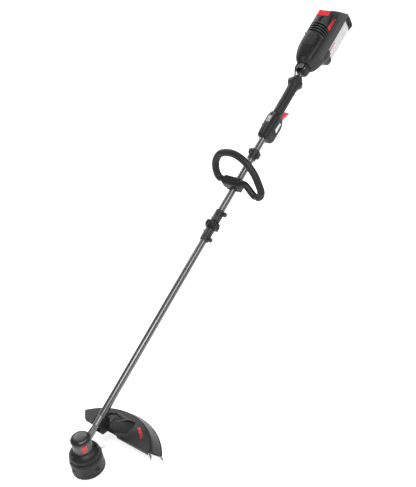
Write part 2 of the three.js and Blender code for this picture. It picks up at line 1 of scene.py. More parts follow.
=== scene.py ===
import json
import math
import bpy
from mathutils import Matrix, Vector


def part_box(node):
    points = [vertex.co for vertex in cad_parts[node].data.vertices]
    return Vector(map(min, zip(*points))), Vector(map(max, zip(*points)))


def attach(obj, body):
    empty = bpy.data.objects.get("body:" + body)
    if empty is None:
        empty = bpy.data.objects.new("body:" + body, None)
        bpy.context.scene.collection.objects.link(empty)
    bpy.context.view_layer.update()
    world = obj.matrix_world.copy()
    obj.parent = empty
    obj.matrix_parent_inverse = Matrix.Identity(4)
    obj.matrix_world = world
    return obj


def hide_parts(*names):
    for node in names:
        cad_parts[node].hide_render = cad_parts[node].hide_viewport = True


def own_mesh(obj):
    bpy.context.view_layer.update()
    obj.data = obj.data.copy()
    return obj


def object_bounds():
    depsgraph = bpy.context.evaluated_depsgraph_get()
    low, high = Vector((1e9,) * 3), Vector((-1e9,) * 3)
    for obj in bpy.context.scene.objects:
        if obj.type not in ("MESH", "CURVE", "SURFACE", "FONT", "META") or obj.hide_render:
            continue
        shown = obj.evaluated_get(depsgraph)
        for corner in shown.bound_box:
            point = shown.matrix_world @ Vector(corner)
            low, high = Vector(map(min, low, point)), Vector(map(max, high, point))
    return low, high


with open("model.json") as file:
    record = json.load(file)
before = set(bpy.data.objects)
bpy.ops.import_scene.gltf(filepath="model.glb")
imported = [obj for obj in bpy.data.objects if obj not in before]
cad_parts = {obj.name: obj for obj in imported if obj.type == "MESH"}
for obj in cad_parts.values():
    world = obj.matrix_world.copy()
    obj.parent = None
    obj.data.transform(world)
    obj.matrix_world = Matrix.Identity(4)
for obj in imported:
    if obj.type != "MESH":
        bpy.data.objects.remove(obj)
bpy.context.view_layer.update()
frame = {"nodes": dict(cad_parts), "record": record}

from types import SimpleNamespace

import bmesh
import bpy
from mathutils import Matrix, Vector

# Battery string trimmer. Pieces are drawn in millimetres in one of two spaces and are then
# placed in the frame. headSpace is the frame itself, with the cutting head's axis on z.
# shaftSpace lies along the shaft: x towards the user, y across, z square to it and up.

mm = 0.001
joints = {joint["name"]: joint for joint in frame["record"]["behaviour"]["joints"]}
shaftAxis = Vector(joints["coupler_nut_turn"]["axis"]).normalized()
shaftSide = Vector((0, 1, 0))
shaftUp = shaftAxis.cross(shaftSide)
nutCentre = Vector(joints["coupler_nut_turn"]["pos_m"])
shaftFoot = nutCentre - shaftAxis * (nutCentre.x / shaftAxis.x)

headSpace = Matrix.Diagonal((mm, mm, mm, 1))
shaftSpace = Matrix([
    (shaftAxis[row] * mm, shaftSide[row] * mm, shaftUp[row] * mm, shaftFoot[row])
    for row in range(3)] + [(0, 0, 0, 1)])


def span(node, space=shaftSpace):
    # extent of a CAD node in one of the two spaces, in millimetres
    back = space.inverted()
    points = [back @ vertex.co for vertex in frame["nodes"][node].data.vertices]
    low = [min(point[axis] for point in points) for axis in range(3)]
    high = [max(point[axis] for point in points) for axis in range(3)]
    return SimpleNamespace(x0=low[0], x1=high[0], y0=low[1], y1=high[1], z0=low[2], z1=high[2])


# Camera and studio

studio = {
    "focal": 59.14,                     # mm on a 36 mm long side
    "place": (-1.048, -1.706, 2.096),   # m, in the frame
    "aim": (0.611, 0.574, -0.546),
    "roll": 9.0,                        # degrees
    "floorDrop": 0.0004,
    "floorSize": 40.0,
    "floorGlow": 0.72,
    "worldLight": 0.34,
    "backdrop": 1.2,
}


def makeCamera():
    camera = bpy.data.objects.new("camera", bpy.data.cameras.new("camera"))
    bpy.context.scene.collection.objects.link(camera)
    camera.data.lens = studio["focal"]
    camera.data.sensor_width = 36
    camera.data.clip_start = 0.05
    camera.data.clip_end = 60
    forward = Vector(studio["aim"]).normalized()
    level = forward.cross(Vector((0, 0, 1))).normalized()
    drop = forward.cross(level)
    roll = math.radians(studio["roll"])
    right = level * math.cos(roll) + drop * math.sin(roll)
    up = right.cross(forward)
    camera.matrix_world = Matrix([
        (right[row], up[row], -forward[row], studio["place"][row]) for row in range(3)
    ] + [(0, 0, 0, 1)])
    bpy.context.scene.camera = camera


def softBox(name, place, aim, size, power, tint=(1, 1, 1)):
    light = bpy.data.lights.new(name, "AREA")
    light.shape = "RECTANGLE"
    light.size, light.size_y = size
    light.energy = power
    light.color = tint
    lamp = bpy.data.objects.new(name, light)
    lamp.location = place
    lamp.rotation_euler = (Vector(aim) - Vector(place)).to_track_quat("-Z", "Y").to_euler()
    bpy.context.scene.collection.objects.link(lamp)


def makeStudio():
    low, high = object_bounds()
    middle = (Vector(low) + Vector(high)) / 2
    softBox("key_light", middle + Vector((-1.9, -1.2, 2.4)), middle, (1.7, 1.1), 44)
    softBox("strip_light", middle + Vector((-0.3, -1.5, 2.1)), middle, (3.4, 0.42), 46)
    softBox("rim_light", middle + Vector((1.1, 2.4, 1.9)), middle, (2.4, 0.9), 52)
    world = bpy.data.worlds.new("studio")
    bpy.context.scene.world = world
    world.use_nodes = True
    world.node_tree.nodes["Background"].inputs["Color"].default_value = (1, 1, 1, 1)
    seen = addNode(world.node_tree, "ShaderNodeLightPath")
    glow = addNode(world.node_tree, "ShaderNodeMapRange")
    feed(world.node_tree, glow, Value=seen.outputs["Is Camera Ray"])
    glow.inputs["To Min"].default_value = studio["worldLight"]
    glow.inputs["To Max"].default_value = studio["backdrop"]
    world.node_tree.links.new(glow.outputs["Result"],
                              world.node_tree.nodes["Background"].inputs["Strength"])
    half = studio["floorSize"] / 2
    floorLevel = low[2] - studio["floorDrop"]
    corners = [(x * half + middle.x, y * half + middle.y, floorLevel)
               for x, y in ((-1, -1), (1, -1), (1, 1), (-1, 1))]
    mesh = bpy.data.meshes.new("studio_floor")
    mesh.from_pydata(corners, [], [(0, 1, 2, 3)])
    floor = bpy.data.objects.new("studio_floor", mesh)
    bpy.context.scene.collection.objects.link(floor)
    floor.data.materials.append(floorPaper())
    bpy.context.scene.view_settings.view_transform = "Standard"


# Node helpers for materials

def addNode(tree, kind, **settings):
    node = tree.nodes.new(kind)
    for key, value in settings.items():
        setattr(node, key, value)
    return node


def feed(tree, node, **links):
    # each socket takes a number, a colour or another node's output
    for key, value in links.items():
        socket = node.inputs[int(key[1:])] if key[1:].isdigit() else node.inputs[key.replace("_", " ")]
        if isinstance(value, bpy.types.NodeSocket):
            tree.links.new(value, socket)
        else:
            socket.default_value = value
    return node


def newFinish(name):
    material = bpy.data.materials.new(name)
    material.use_nodes = True
    tree = material.node_tree
    shader = tree.nodes["Principled BSDF"]
    coords = addNode(tree, "ShaderNodeTexCoord").outputs["Object"]
    return material, tree, shader, coords


def turnedCoords(tree, coords, turn=(0, 0, 0), stretch=(1, 1, 1)):
    mapping = addNode(tree, "ShaderNodeMapping", vector_type="TEXTURE")
    feed(tree, mapping, Vector=coords, Rotation=turn)
    scaled = addNode(tree, "ShaderNodeVectorMath", operation="MULTIPLY")
    feed(tree, scaled, _0=mapping.outputs[0], _1=stretch)
    return scaled.outputs[0]


def cloud(tree, coords, size, detail=3.0, rough=0.55):
    # size is the patches' width in millimetres
    noise = addNode(tree, "ShaderNodeTexNoise")
    feed(tree, noise, Vector=coords, Scale=1 / (size * mm), Detail=detail, Roughness=rough)
    return noise.outputs["Fac"]


def spread(tree, value, low, high, start=0.3, end=0.7):
    ramp = addNode(tree, "ShaderNodeMapRange")
    feed(tree, ramp, Value=value, _1=start, _2=end, _3=low, _4=high)
    return ramp.outputs[0]


def blendColours(tree, factor, first, second, mode="MIX"):
    mix = addNode(tree, "ShaderNodeMix", data_type="RGBA", blend_type=mode)
    feed(tree, mix, _0=factor, _6=first, _7=second)
    return mix.outputs[2]


def edgeWear(tree, start=0.52, end=0.6):
    geometry = addNode(tree, "ShaderNodeNewGeometry")
    return spread(tree, geometry.outputs["Pointiness"], 0.0, 1.0, start, end)


def bumped(tree, shader, height, depth, under=None):
    bump = addNode(tree, "ShaderNodeBump")
    feed(tree, bump, Height=height, Distance=depth * mm, Strength=0.6)
    if under is not None:
        tree.links.new(under, bump.inputs["Normal"])
    tree.links.new(bump.outputs[0], shader.inputs["Normal"])
    return bump.outputs[0]


def grey(level, warm=0.0, alpha=1.0):
    return (level * (1 + warm), level, level * (1 - warm), alpha)


def mouldedPlastic(name, look):
    # tone is the light patches' grey, shade the dark patches', both linear
    material, tree, shader, coords = newFinish(name)
    patches = cloud(tree, coords, look["patch"], 4)
    base = blendColours(tree, spread(tree, patches, 0, 1), look["shade"], look["tone"])
    wear = addNode(tree, "ShaderNodeMath", operation="MULTIPLY")
    feed(tree, wear, _0=edgeWear(tree), _1=look["wear"])
    worn = blendColours(tree, wear.outputs[0], base, look["edge"])
    feed(tree, shader, Base_Color=worn)
    scuffs = cloud(tree, turnedCoords(tree, coords, (0.3, 0.9, 0.4), (1, 7, 2)), 9, 5, 0.7)
    feed(tree, shader, Roughness=spread(tree, scuffs, look["gloss"] - 0.06, look["gloss"] + 0.09),
         Specular_IOR_Level=look["specular"])
    grain = addNode(tree, "ShaderNodeTexVoronoi", feature="SMOOTH_F1")
    feed(tree, grain, Vector=coords, Scale=1 / (look["grain"] * mm), Smoothness=0.6)
    fine = bumped(tree, shader, grain.outputs["Distance"], look["depth"])
    bumped(tree, shader, cloud(tree, coords, 14, 2), look["depth"] * 2.5, fine)
    return material


def softRubber(name, look):
    material, tree, shader, coords = newFinish(name)
    patches = cloud(tree, coords, 26, 5)
    base = blendColours(tree, spread(tree, patches, 0, 1), look["shade"], look["tone"])
    polish = cloud(tree, turnedCoords(tree, coords, (0.5, 0.2, 1.1), (1, 3, 1)), 34, 3)
    worn = blendColours(tree, spread(tree, polish, 0, 0.35, 0.5, 0.8), base, look["edge"])
    feed(tree, shader, Base_Color=worn,
         Roughness=spread(tree, polish, look["gloss"] + 0.05, look["gloss"] - 0.1), Sheen_Weight=0.12,
         Sheen_Roughness=0.4, Specular_IOR_Level=0.32)
    pores = bumped(tree, shader, cloud(tree, coords, 0.5, 6, 0.7), 0.12)
    dimples = addNode(tree, "ShaderNodeTexVoronoi")
    feed(tree, dimples, Vector=coords, Scale=1 / (1.7 * mm))
    bumped(tree, shader, dimples.outputs["Distance"], 0.1, pores)
    return material


def anodisedTube(name, look):
    # drawn lines run along the shaft, so the coordinates are turned to its slope first
    material, tree, shader, coords = newFinish(name)
    slope = math.atan2(shaftAxis.z, shaftAxis.x)
    along = turnedCoords(tree, coords, (0, -slope, 0), (0.02, 1, 1))
    lines = cloud(tree, along, 0.5, 4, 0.6)
    stains = cloud(tree, coords, 60, 4)
    base = blendColours(tree, spread(tree, lines, 0, 1), look["shade"], look["tone"])
    marked = blendColours(tree, spread(tree, stains, 0, 0.3, 0.45, 0.7), base, look["edge"])
    feed(tree, shader, Base_Color=marked, Metallic=look["metal"],
         Roughness=spread(tree, lines, look["gloss"] - 0.05, look["gloss"] + 0.08))
    bumped(tree, shader, lines, 0.02)
    return material


def turnedAlloy(name, look):
    # fine tool rings round the head's axis
    material, tree, shader, coords = newFinish(name)
    rings = cloud(tree, turnedCoords(tree, coords, (0, 0, 0), (0.03, 0.03, 1)), 0.6, 3)
    haze = cloud(tree, coords, 18, 4)
    base = blendColours(tree, spread(tree, haze, 0, 1), look["shade"], look["tone"])
    wear = edgeWear(tree, 0.53, 0.62)
    worn = blendColours(tree, wear, base, look["edge"])
    feed(tree, shader, Base_Color=worn, Metallic=look["metal"],
         Roughness=spread(tree, haze, look["gloss"] - 0.04, look["gloss"] + 0.1))
    bumped(tree, shader, rings, 0.03)
    return material


def castAlloy(name, look):
    material, tree, shader, coords = newFinish(name)
    haze = cloud(tree, coords, 12, 5)
    base = blendColours(tree, spread(tree, haze, 0, 1), look["shade"], look["tone"])
    worn = blendColours(tree, edgeWear(tree, 0.52, 0.62), base, look["edge"])
    feed(tree, shader, Base_Color=worn, Metallic=look["metal"],
         Roughness=spread(tree, haze, look["gloss"] - 0.05, look["gloss"] + 0.12))
    sand = bumped(tree, shader, cloud(tree, coords, 0.7, 5, 0.7), 0.12)
    bumped(tree, shader, cloud(tree, coords, 6, 2), 0.2, sand)
    return material


def platedSteel(name, look):
    material, tree, shader, coords = newFinish(name)
    spots = cloud(tree, coords, 3, 5, 0.65)
    base = blendColours(tree, spread(tree, spots, 0, 1), look["shade"], look["tone"])
    feed(tree, shader, Base_Color=base, Metallic=1.0,
         Roughness=spread(tree, spots, look["gloss"] - 0.06, look["gloss"] + 0.12))
    bumped(tree, shader, cloud(tree, turnedCoords(tree, coords, (0.2, 0.1, 0.7), (1, 12, 1)), 0.9, 4), 0.03)
    return material


def glossyPlastic(name, look):
    material, tree, shader, coords = newFinish(name)
    haze = cloud(tree, coords, look["patch"], 4)
    base = blendColours(tree, spread(tree, haze, 0, 1), look["shade"], look["tone"])
    worn = blendColours(tree, spread(tree, cloud(tree, coords, 2.2, 6, 0.75), 0, 0.25, 0.6, 0.8),
                        base, look["edge"])
    feed(tree, shader, Base_Color=worn,
         Roughness=spread(tree, haze, look["gloss"] - 0.05, look["gloss"] + 0.1), Coat_Weight=look["coat"],
         Coat_Roughness=0.2)
    bumped(tree, shader, cloud(tree, coords, 0.8, 4), 0.04)
    return material


def woundCopper(name, look):
    material, tree, shader, coords = newFinish(name)
    strands = addNode(tree, "ShaderNodeTexWave", bands_direction="Z", wave_profile="SIN")
    feed(tree, strands, Vector=coords, Scale=0.3 / mm, Distortion=0.6, Detail=2.0)
    base = blendColours(tree, strands.outputs["Fac"], look["shade"], look["tone"])
    feed(tree, shader, Base_Color=base, Metallic=0.85,
         Roughness=spread(tree, cloud(tree, coords, 4), 0.3, 0.45))
    bumped(tree, shader, strands.outputs["Fac"], 0.2)
    return material


def nylonLine(name, look):
    material, tree, shader, coords = newFinish(name)
    twist = cloud(tree, turnedCoords(tree, coords, (0.4, 0.3, 0.9), (1, 4, 1)), 1.6, 4)
    base = blendColours(tree, spread(tree, twist, 0, 1), look["shade"], look["tone"])
    feed(tree, shader, Base_Color=base, Roughness=spread(tree, twist, 0.3, 0.5), Transmission_Weight=0.08)
    bumped(tree, shader, twist, 0.06)
    return material


def printedMark(name, look):
    # pad print: even ink with a slight speckle and thinning
    material, tree, shader, coords = newFinish(name)
    speckle = cloud(tree, coords, 0.7, 5, 0.7)
    base = blendColours(tree, spread(tree, speckle, 0, 1, 0.35, 0.6), look["shade"], look["tone"])
    feed(tree, shader, Base_Color=base,
         Roughness=spread(tree, speckle, look["gloss"] - 0.05, look["gloss"] + 0.1))
    bumped(tree, shader, speckle, 0.02)
    return material


def floorPaper():
    material, tree, shader, coords = newFinish("floor_paper")
    fibre = cloud(tree, coords, 300, 3)
    base = blendColours(tree, spread(tree, fibre, 0, 1), grey(0.93), grey(0.95))
    feed(tree, shader, Base_Color=base, Emission_Color=base, Emission_Strength=studio["floorGlow"],
         Roughness=0.9, Specular_IOR_Level=0.1)
    return material


plasticLook = {"patch": 60, "tone": grey(0.013), "shade": grey(0.009), "edge": grey(0.05),
               "wear": 0.5, "gloss": 0.42, "specular": 0.27, "grain": 0.55, "depth": 0.05}
finishes = {
    "bodyPlastic": mouldedPlastic("body_plastic", plasticLook),
    "deepPlastic": mouldedPlastic("deep_plastic", {
        **plasticLook, "tone": grey(0.0065), "shade": grey(0.0045), "edge": grey(0.025), "gloss": 0.38}),
    "guardPlastic": mouldedPlastic("guard_plastic", {
        **plasticLook, "patch": 110, "tone": grey(0.0125), "shade": grey(0.0085), "gloss": 0.4,
        "grain": 0.8, "depth": 0.07}),
    "gripRubber": softRubber("grip_rubber", {
        "tone": grey(0.011), "shade": grey(0.0075), "edge": grey(0.022), "gloss": 0.56}),
    "tubeAlloy": anodisedTube("tube_alloy", {
        "tone": grey(0.17, -0.01), "shade": grey(0.12, -0.01), "edge": grey(0.13), "metal": 0.9,
        "gloss": 0.3}),
    "caseAlloy": turnedAlloy("case_alloy", {
        "tone": grey(0.1), "shade": grey(0.07), "edge": grey(0.2), "metal": 0.7, "gloss": 0.34}),
    "capAlloy": turnedAlloy("cap_alloy", {
        "tone": grey(0.042), "shade": grey(0.028), "edge": grey(0.1), "metal": 0.55, "gloss": 0.27}),
    "castAlloy": castAlloy("cast_alloy", {
        "tone": grey(0.2), "shade": grey(0.14), "edge": grey(0.32), "metal": 0.65, "gloss": 0.36}),
    "zincSteel": platedSteel("zinc_steel", {
        "tone": grey(0.42), "shade": grey(0.26), "gloss": 0.3}),
    "blackSteel": platedSteel("black_steel", {
        "tone": grey(0.07), "shade": grey(0.04), "gloss": 0.38}),
    "bladeSteel": platedSteel("blade_steel", {
        "tone": grey(0.15), "shade": grey(0.09), "gloss": 0.33}),
    "redGloss": glossyPlastic("red_gloss", {
        "patch": 14, "tone": (0.8, 0.012, 0.016, 1), "shade": (0.68, 0.008, 0.012, 1),
        "edge": (0.86, 0.04, 0.045, 1), "gloss": 0.38, "coat": 0.1}),
    "whiteGloss": glossyPlastic("white_gloss", {
        "patch": 40, "tone": grey(0.52), "shade": grey(0.49), "edge": grey(0.42), "gloss": 0.34,
        "coat": 0.25}),
    "silverGloss": glossyPlastic("silver_gloss", {
        "patch": 9, "tone": grey(0.3), "shade": grey(0.2), "edge": grey(0.15), "gloss": 0.3,
        "coat": 0.4}),
    "copperWire": woundCopper("copper_wire", {
        "tone": (0.62, 0.27, 0.12, 1), "shade": (0.3, 0.11, 0.05, 1)}),
    "boardGreen": glossyPlastic("board_green", {
        "patch": 5, "tone": (0.03, 0.2, 0.09, 1), "shade": (0.02, 0.12, 0.05, 1),
        "edge": (0.3, 0.28, 0.1, 1), "gloss": 0.38, "coat": 0.2}),
    "lineNylon": nylonLine("line_nylon", {"tone": grey(0.02), "shade": grey(0.012)}),
    "redInk": printedMark("red_ink", {
        "tone": (0.6, 0.01, 0.013, 1), "shade": (0.47, 0.007, 0.01, 1), "gloss": 0.42}),
    "whiteInk": printedMark("white_ink", {
        "tone": grey(0.82), "shade": grey(0.7), "gloss": 0.45}),
    "greyInk": printedMark("grey_ink", {
        "tone": grey(0.12), "shade": grey(0.09), "gloss": 0.45}),
}
print("finishes ready:", len(finishes))


# Shape helpers, all in millimetres

shaftBore = 13.3         # radius of every bore that a shaft tube passes through

def makeObject(name, points, faces):
    mesh = bpy.data.meshes.new(name)
    mesh.from_pydata([tuple(point) for point in points], [], faces)
    made = bpy.data.objects.new(name, mesh)
    bpy.context.scene.collection.objects.link(made)
    faceOut(made)
    return made


def faceOut(made, gap=1e-4):
    shape = bmesh.new()
    shape.from_mesh(made.data)
    bmesh.ops.remove_doubles(shape, verts=shape.verts, dist=gap)
    bmesh.ops.recalc_face_normals(shape, faces=shape.faces)
    shape.to_mesh(made.data)
    shape.free()


def rounded(outline, radius, steps=4, closed=False):
    # the corners of an outline become arcs
    points = [Vector(point) for point in outline]
    out = [] if closed else [points[0]]
    last = len(points) if closed else len(points) - 1
    for index in range(0 if closed else 1, last):
        here = points[index]
        before = points[index - 1] - here
        after = points[(index + 1) % len(points)] - here
        reach = min(radius, before.length * 0.45, after.length * 0.45)
        start = here + before.normalized() * reach
        end = here + after.normalized() * reach
        for step in range(steps + 1):
            t = step / steps
            out.append(start * (1 - t) ** 2 + here * 2 * t * (1 - t) + end * t ** 2)
    if not closed:
        out.append(points[-1])
    return out


axisTurn = {
    "z": lambda radius, angle, height: (radius * math.cos(angle), radius * math.sin(angle), height),
    "x": lambda radius, angle, height: (height, radius * math.cos(angle), radius * math.sin(angle)),
    "y": lambda radius, angle, height: (radius * math.sin(angle), height, radius * math.cos(angle)),
}


def turnedPiece(name, profile, steps=96, axis="z", ripple=None):
    # a profile of (radius, height) pairs that ends on the axis or closes on itself
    closed = (Vector(profile[0]) - Vector(profile[-1])).length < 1e-6
    rows = [tuple(point) for point in (profile[:-1] if closed else profile)]
    count = len(rows)
    points = []
    for step in range(steps):
        angle = 2 * math.pi * step / steps
        for radius, height in rows:
            if ripple:
                radius, height = ripple(radius, height, angle)
            points.append(axisTurn[axis](radius, angle, height))
    faces = []
    for step in range(steps):
        nextStep = (step + 1) % steps
        for row in range(count if closed else count - 1):
            nextRow = (row + 1) % count
            faces.append((step * count + row, nextStep * count + row,
                          nextStep * count + nextRow, step * count + nextRow))
    return makeObject(name, points, faces)


def rodPiece(name, radius, low, high, axis="z", steps=48, soft=0.0):
    profile = [(0, low), (radius, low), (radius, high), (0, high)]
    return turnedPiece(name, rounded(profile, soft, 3) if soft else profile, steps, axis)


def turnedRing(name, outline, radius, arcs=3, steps=96, axis="z", ripple=None):
    # an outline that closes on itself, its corners rounded
    profile = rounded(outline, radius, arcs, closed=True)
    return turnedPiece(name, profile + profile[:1], steps, axis, ripple)


def moved(made, shift):
    made.data.transform(Matrix.Translation(shift))
    return made


def rodAt(place, radius, low, high, axis="z", steps=48, soft=0.0):
    return moved(rodPiece("rod", radius, low, high, axis, steps, soft), place)


def shaftRoom(low, high):
    # the clearance round the shaft tube
    return rodPiece("shaft_room", shaftBore, low, high, "x", 96)


def spun(made, degrees, axis="Z"):
    made.data.transform(Matrix.Rotation(math.radians(degrees), 4, axis))
    return made


def skinned(name, rings):
    # closed skin through equal rings, with flat ends
    count = len(rings[0])
    points = [point for ring in rings for point in ring]
    faces = [tuple(range(count)), tuple((len(rings) - 1) * count + i for i in range(count))]
    for ring in range(len(rings) - 1):
        for i in range(count):
            j = (i + 1) % count
            faces.append((ring * count + i, ring * count + j,
                          (ring + 1) * count + j, (ring + 1) * count + i))
    return makeObject(name, points, faces)


def softBoxRing(x, width, top, bottom, count=64, power=4.0):
    middle = (top + bottom) / 2
    half = (top - bottom) / 2
    ring = []
    for index in range(count):
        angle = (index + 0.5) / count * 2 * math.pi
        across, up = math.cos(angle), math.sin(angle)
        ring.append((x, width * math.copysign(abs(across) ** (2 / power), across),
                     middle + half * math.copysign(abs(up) ** (2 / power), up)))
    return ring


def through(stations, steps=6):
    # smooth in-between stations on a Catmull-Rom curve
    rows = [stations[0], *stations, stations[-1]]
    out = []
    for before, start, end, after in zip(rows, rows[1:], rows[2:], rows[3:]):
        for step in range(steps):
            t = step / steps
            out.append(tuple(
                0.5 * (2 * b + (c - a) * t + (2 * a - 5 * b + 4 * c - d) * t ** 2
                       + (3 * b - a - 3 * c + d) * t ** 3)
                for a, b, c, d in zip(before, start, end, after)))
    out.append(tuple(stations[-1]))
    return out


def slab(name, outline, low, high, axis="y"):
    # an outline with thickness: (x, z) across y, (x, y) up z or (y, z) along x
    place = {"y": lambda p, h: (p[0], h, p[1]), "z": lambda p, h: (p[0], p[1], h),
             "x": lambda p, h: (h, p[0], p[1])}[axis]
    count = len(outline)
    points = [place(point, height) for height in (low, high) for point in outline]
    faces = [tuple(range(count)), tuple(range(count, 2 * count))]
    for i in range(count):
        j = (i + 1) % count
        faces.append((i, j, count + j, count + i))
    return makeObject(name, points, faces)


def block(name, x, y, z):
    return slab(name, [(x[0], z[0]), (x[1], z[0]), (x[1], z[1]), (x[0], z[1])], y[0], y[1])


def tubeAlong(name, path, radius, sides=24, side=Vector((0, 0, 1)), dome=0.0):
    # a round bar along a path; radius is a number or a function of the place from 0 to 1
    points = [Vector(point) for point in path]
    reach = radius if callable(radius) else (lambda t: radius)
    rings = []
    normal = side
    for index, point in enumerate(points):
        ahead = points[min(index + 1, len(points) - 1)] - points[max(index - 1, 0)]
        ahead.normalize()
        normal = (normal - ahead * normal.dot(ahead)).normalized()
        across = ahead.cross(normal)
        t = index / (len(points) - 1)
        size = reach(t)
        rings.append([point + (normal * math.cos(a) + across * math.sin(a)) * size
                      for a in (2 * math.pi * i / sides for i in range(sides))])
    if dome:
        for end, inward in ((0, 1), (-1, -1)):
            ring = rings[end]
            middle = points[end]
            ahead = (points[1] - points[0]) if end == 0 else (points[-1] - points[-2])
            ahead.normalize()
            caps = []
            for step in (1, 2, 3):
                t = step / 3
                shrink = math.cos(t * math.pi / 2 * 0.92)
                push = dome * math.sin(t * math.pi / 2)
                caps.append([middle + (p - middle) * (1 - dome / reach(0) * (1 - shrink))
                             - ahead * inward * push for p in ring])
            rings = caps[::-1] + rings if end == 0 else rings + caps
    return skinned(name, rings)


def settle(made):
    # modifiers become the mesh
    bpy.context.view_layer.update()
    graph = bpy.context.evaluated_depsgraph_get()
    mesh = bpy.data.meshes.new_from_object(made.evaluated_get(graph))
    old = made.data
    made.modifiers.clear()
    made.data = mesh
    bpy.data.meshes.remove(old)
    return made


def drop(*tools):
    for tool in tools:
        mesh = tool.data
        bpy.data.objects.remove(tool)
        bpy.data.meshes.remove(mesh)


def combine(made, tools, how):
    for tool in tools:
        join = made.modifiers.new("join", "BOOLEAN")
        join.operation = how
        join.solver = "EXACT"
        join.object = tool
    settle(made)
    drop(*tools)
    return made


def cutAway(made, *tools):
    return combine(made, tools, "DIFFERENCE")


def fuse(made, *tools):
    return combine(made, tools, "UNION")


def keepWithin(made, *tools):
    return combine(made, tools, "INTERSECT")


def twin(made, name):
    copy = bpy.data.objects.new(name, made.data.copy())
    bpy.context.scene.collection.objects.link(copy)
    return copy


def gather(made, *others):
    # one mesh from several that stay apart
    shape = bmesh.new()
    for item in (made, *others):
        shape.from_mesh(item.data)
    shape.to_mesh(made.data)
    shape.free()
    drop(*others)
    return made


def softenEdges(made, width, steps=2, angle=32):
    bevel = made.modifiers.new("soft edge", "BEVEL")
    bevel.width = width
    bevel.segments = steps
    bevel.limit_method = "ANGLE"
    bevel.angle_limit = math.radians(angle)
    bevel.use_clamp_overlap = True
    bevel.miter_outer = "MITER_ARC"
    return settle(made)


def mouldedFrom(made, voxel, smooth=3, keep=1.0):
    # the whole piece as one skin with the soft edges of a moulding
    skin = made.modifiers.new("skin", "REMESH")
    skin.mode = "VOXEL"
    skin.voxel_size = voxel
    ease = made.modifiers.new("ease", "SMOOTH")
    ease.factor = 0.5
    ease.iterations = smooth
    if keep < 1:
        fewer = made.modifiers.new("fewer", "DECIMATE")
        fewer.ratio = keep
    return settle(made)


def fromFrame(node, name, space=shaftSpace):
    # a merged copy of a CAD node, in millimetres
    source = frame["nodes"][node]
    copy = bpy.data.objects.new(name, source.data.copy())
    bpy.context.scene.collection.objects.link(copy)
    copy.data.materials.clear()
    copy.data.transform(space.inverted())
    faceOut(copy, 0.002)
    return copy


deliveredNames = []


def deliver(piece, space, material, body, replaced=(), smoothAngle=38):
    # the piece goes to its place in the frame, gets its finish and rides on its body
    piece.data.transform(space)
    piece.data.materials.clear()
    piece.data.materials.append(finishes[material])
    for face in piece.data.polygons:
        face.material_index = 0
    piece.data.shade_smooth()
    piece.data.set_sharp_from_angle(angle=math.radians(smoothAngle))
    piece.data.update()
    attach(piece, body)
    if replaced:
        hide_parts(*replaced)
    deliveredNames.append(piece.name)
    return piece


# Geometry Nodes: copies of a part round an axis, in a row or on a helix

def newTree(name, inputs):
    tree = bpy.data.node_groups.new(name, "GeometryNodeTree")
    tree.interface.new_socket("Geometry", in_out="OUTPUT", socket_type="NodeSocketGeometry")
    for title, kind, value in inputs:
        socket = tree.interface.new_socket(title, in_out="INPUT", socket_type="NodeSocket" + kind)
        if value is not None:
            socket.default_value = value
    start = addNode(tree, "NodeGroupInput").outputs
    return tree, start


def endTree(tree, geometry, material):
    real = addNode(tree, "GeometryNodeRealizeInstances")
    feed(tree, real, _0=geometry)
    paint = addNode(tree, "GeometryNodeSetMaterial")
    feed(tree, paint, _0=real.outputs[0], Material=material)
    end = addNode(tree, "NodeGroupOutput")
    feed(tree, end, _0=paint.outputs[0])
    return tree


def mathNode(tree, operation, first, second=None):
    node = addNode(tree, "ShaderNodeMath", operation=operation)
    for socket, value in zip(node.inputs, (first, second)):
        if isinstance(value, bpy.types.NodeSocket):
            tree.links.new(value, socket)
        elif value is not None:
            socket.default_value = value
    return node.outputs[0]


def buildRepeatTree():
    tree, start = newTree("Repeat around axis", [
        ("Part", "Geometry", None), ("Copies", "Int", 6), ("Turn", "Float", 0.0),
        ("Start", "Float", 0.0), ("Radius", "Float", 0.0), ("Step", "Vector", (0, 0, 0)),
        ("Finish", "Material", None)])
    index = addNode(tree, "GeometryNodeInputIndex").outputs[0]
    angle = mathNode(tree, "ADD", mathNode(tree, "MULTIPLY", index, start["Turn"]), start["Start"])
    circle = addNode(tree, "ShaderNodeCombineXYZ")
    for side, wave in enumerate(("COSINE", "SINE")):
        reach = mathNode(tree, "MULTIPLY", mathNode(tree, wave, angle), start["Radius"])
        tree.links.new(reach, circle.inputs[side])
    shift = addNode(tree, "ShaderNodeVectorMath", operation="SCALE")
    feed(tree, shift, _0=start["Step"], Scale=index)
    place = addNode(tree, "ShaderNodeVectorMath", operation="ADD")
    feed(tree, place, _0=circle.outputs[0], _1=shift.outputs[0])
    points = addNode(tree, "GeometryNodePoints")
    feed(tree, points, Count=start["Copies"], Position=place.outputs[0])
    facing = addNode(tree, "ShaderNodeCombineXYZ")
    feed(tree, facing, _2=angle)
    turn = addNode(tree, "FunctionNodeEulerToRotation")
    feed(tree, turn, _0=facing.outputs[0])
    copies = addNode(tree, "GeometryNodeInstanceOnPoints")
    feed(tree, copies, Points=points.outputs[0], Instance=start["Part"], Rotation=turn.outputs[0])
    return endTree(tree, copies.outputs[0], start["Finish"])


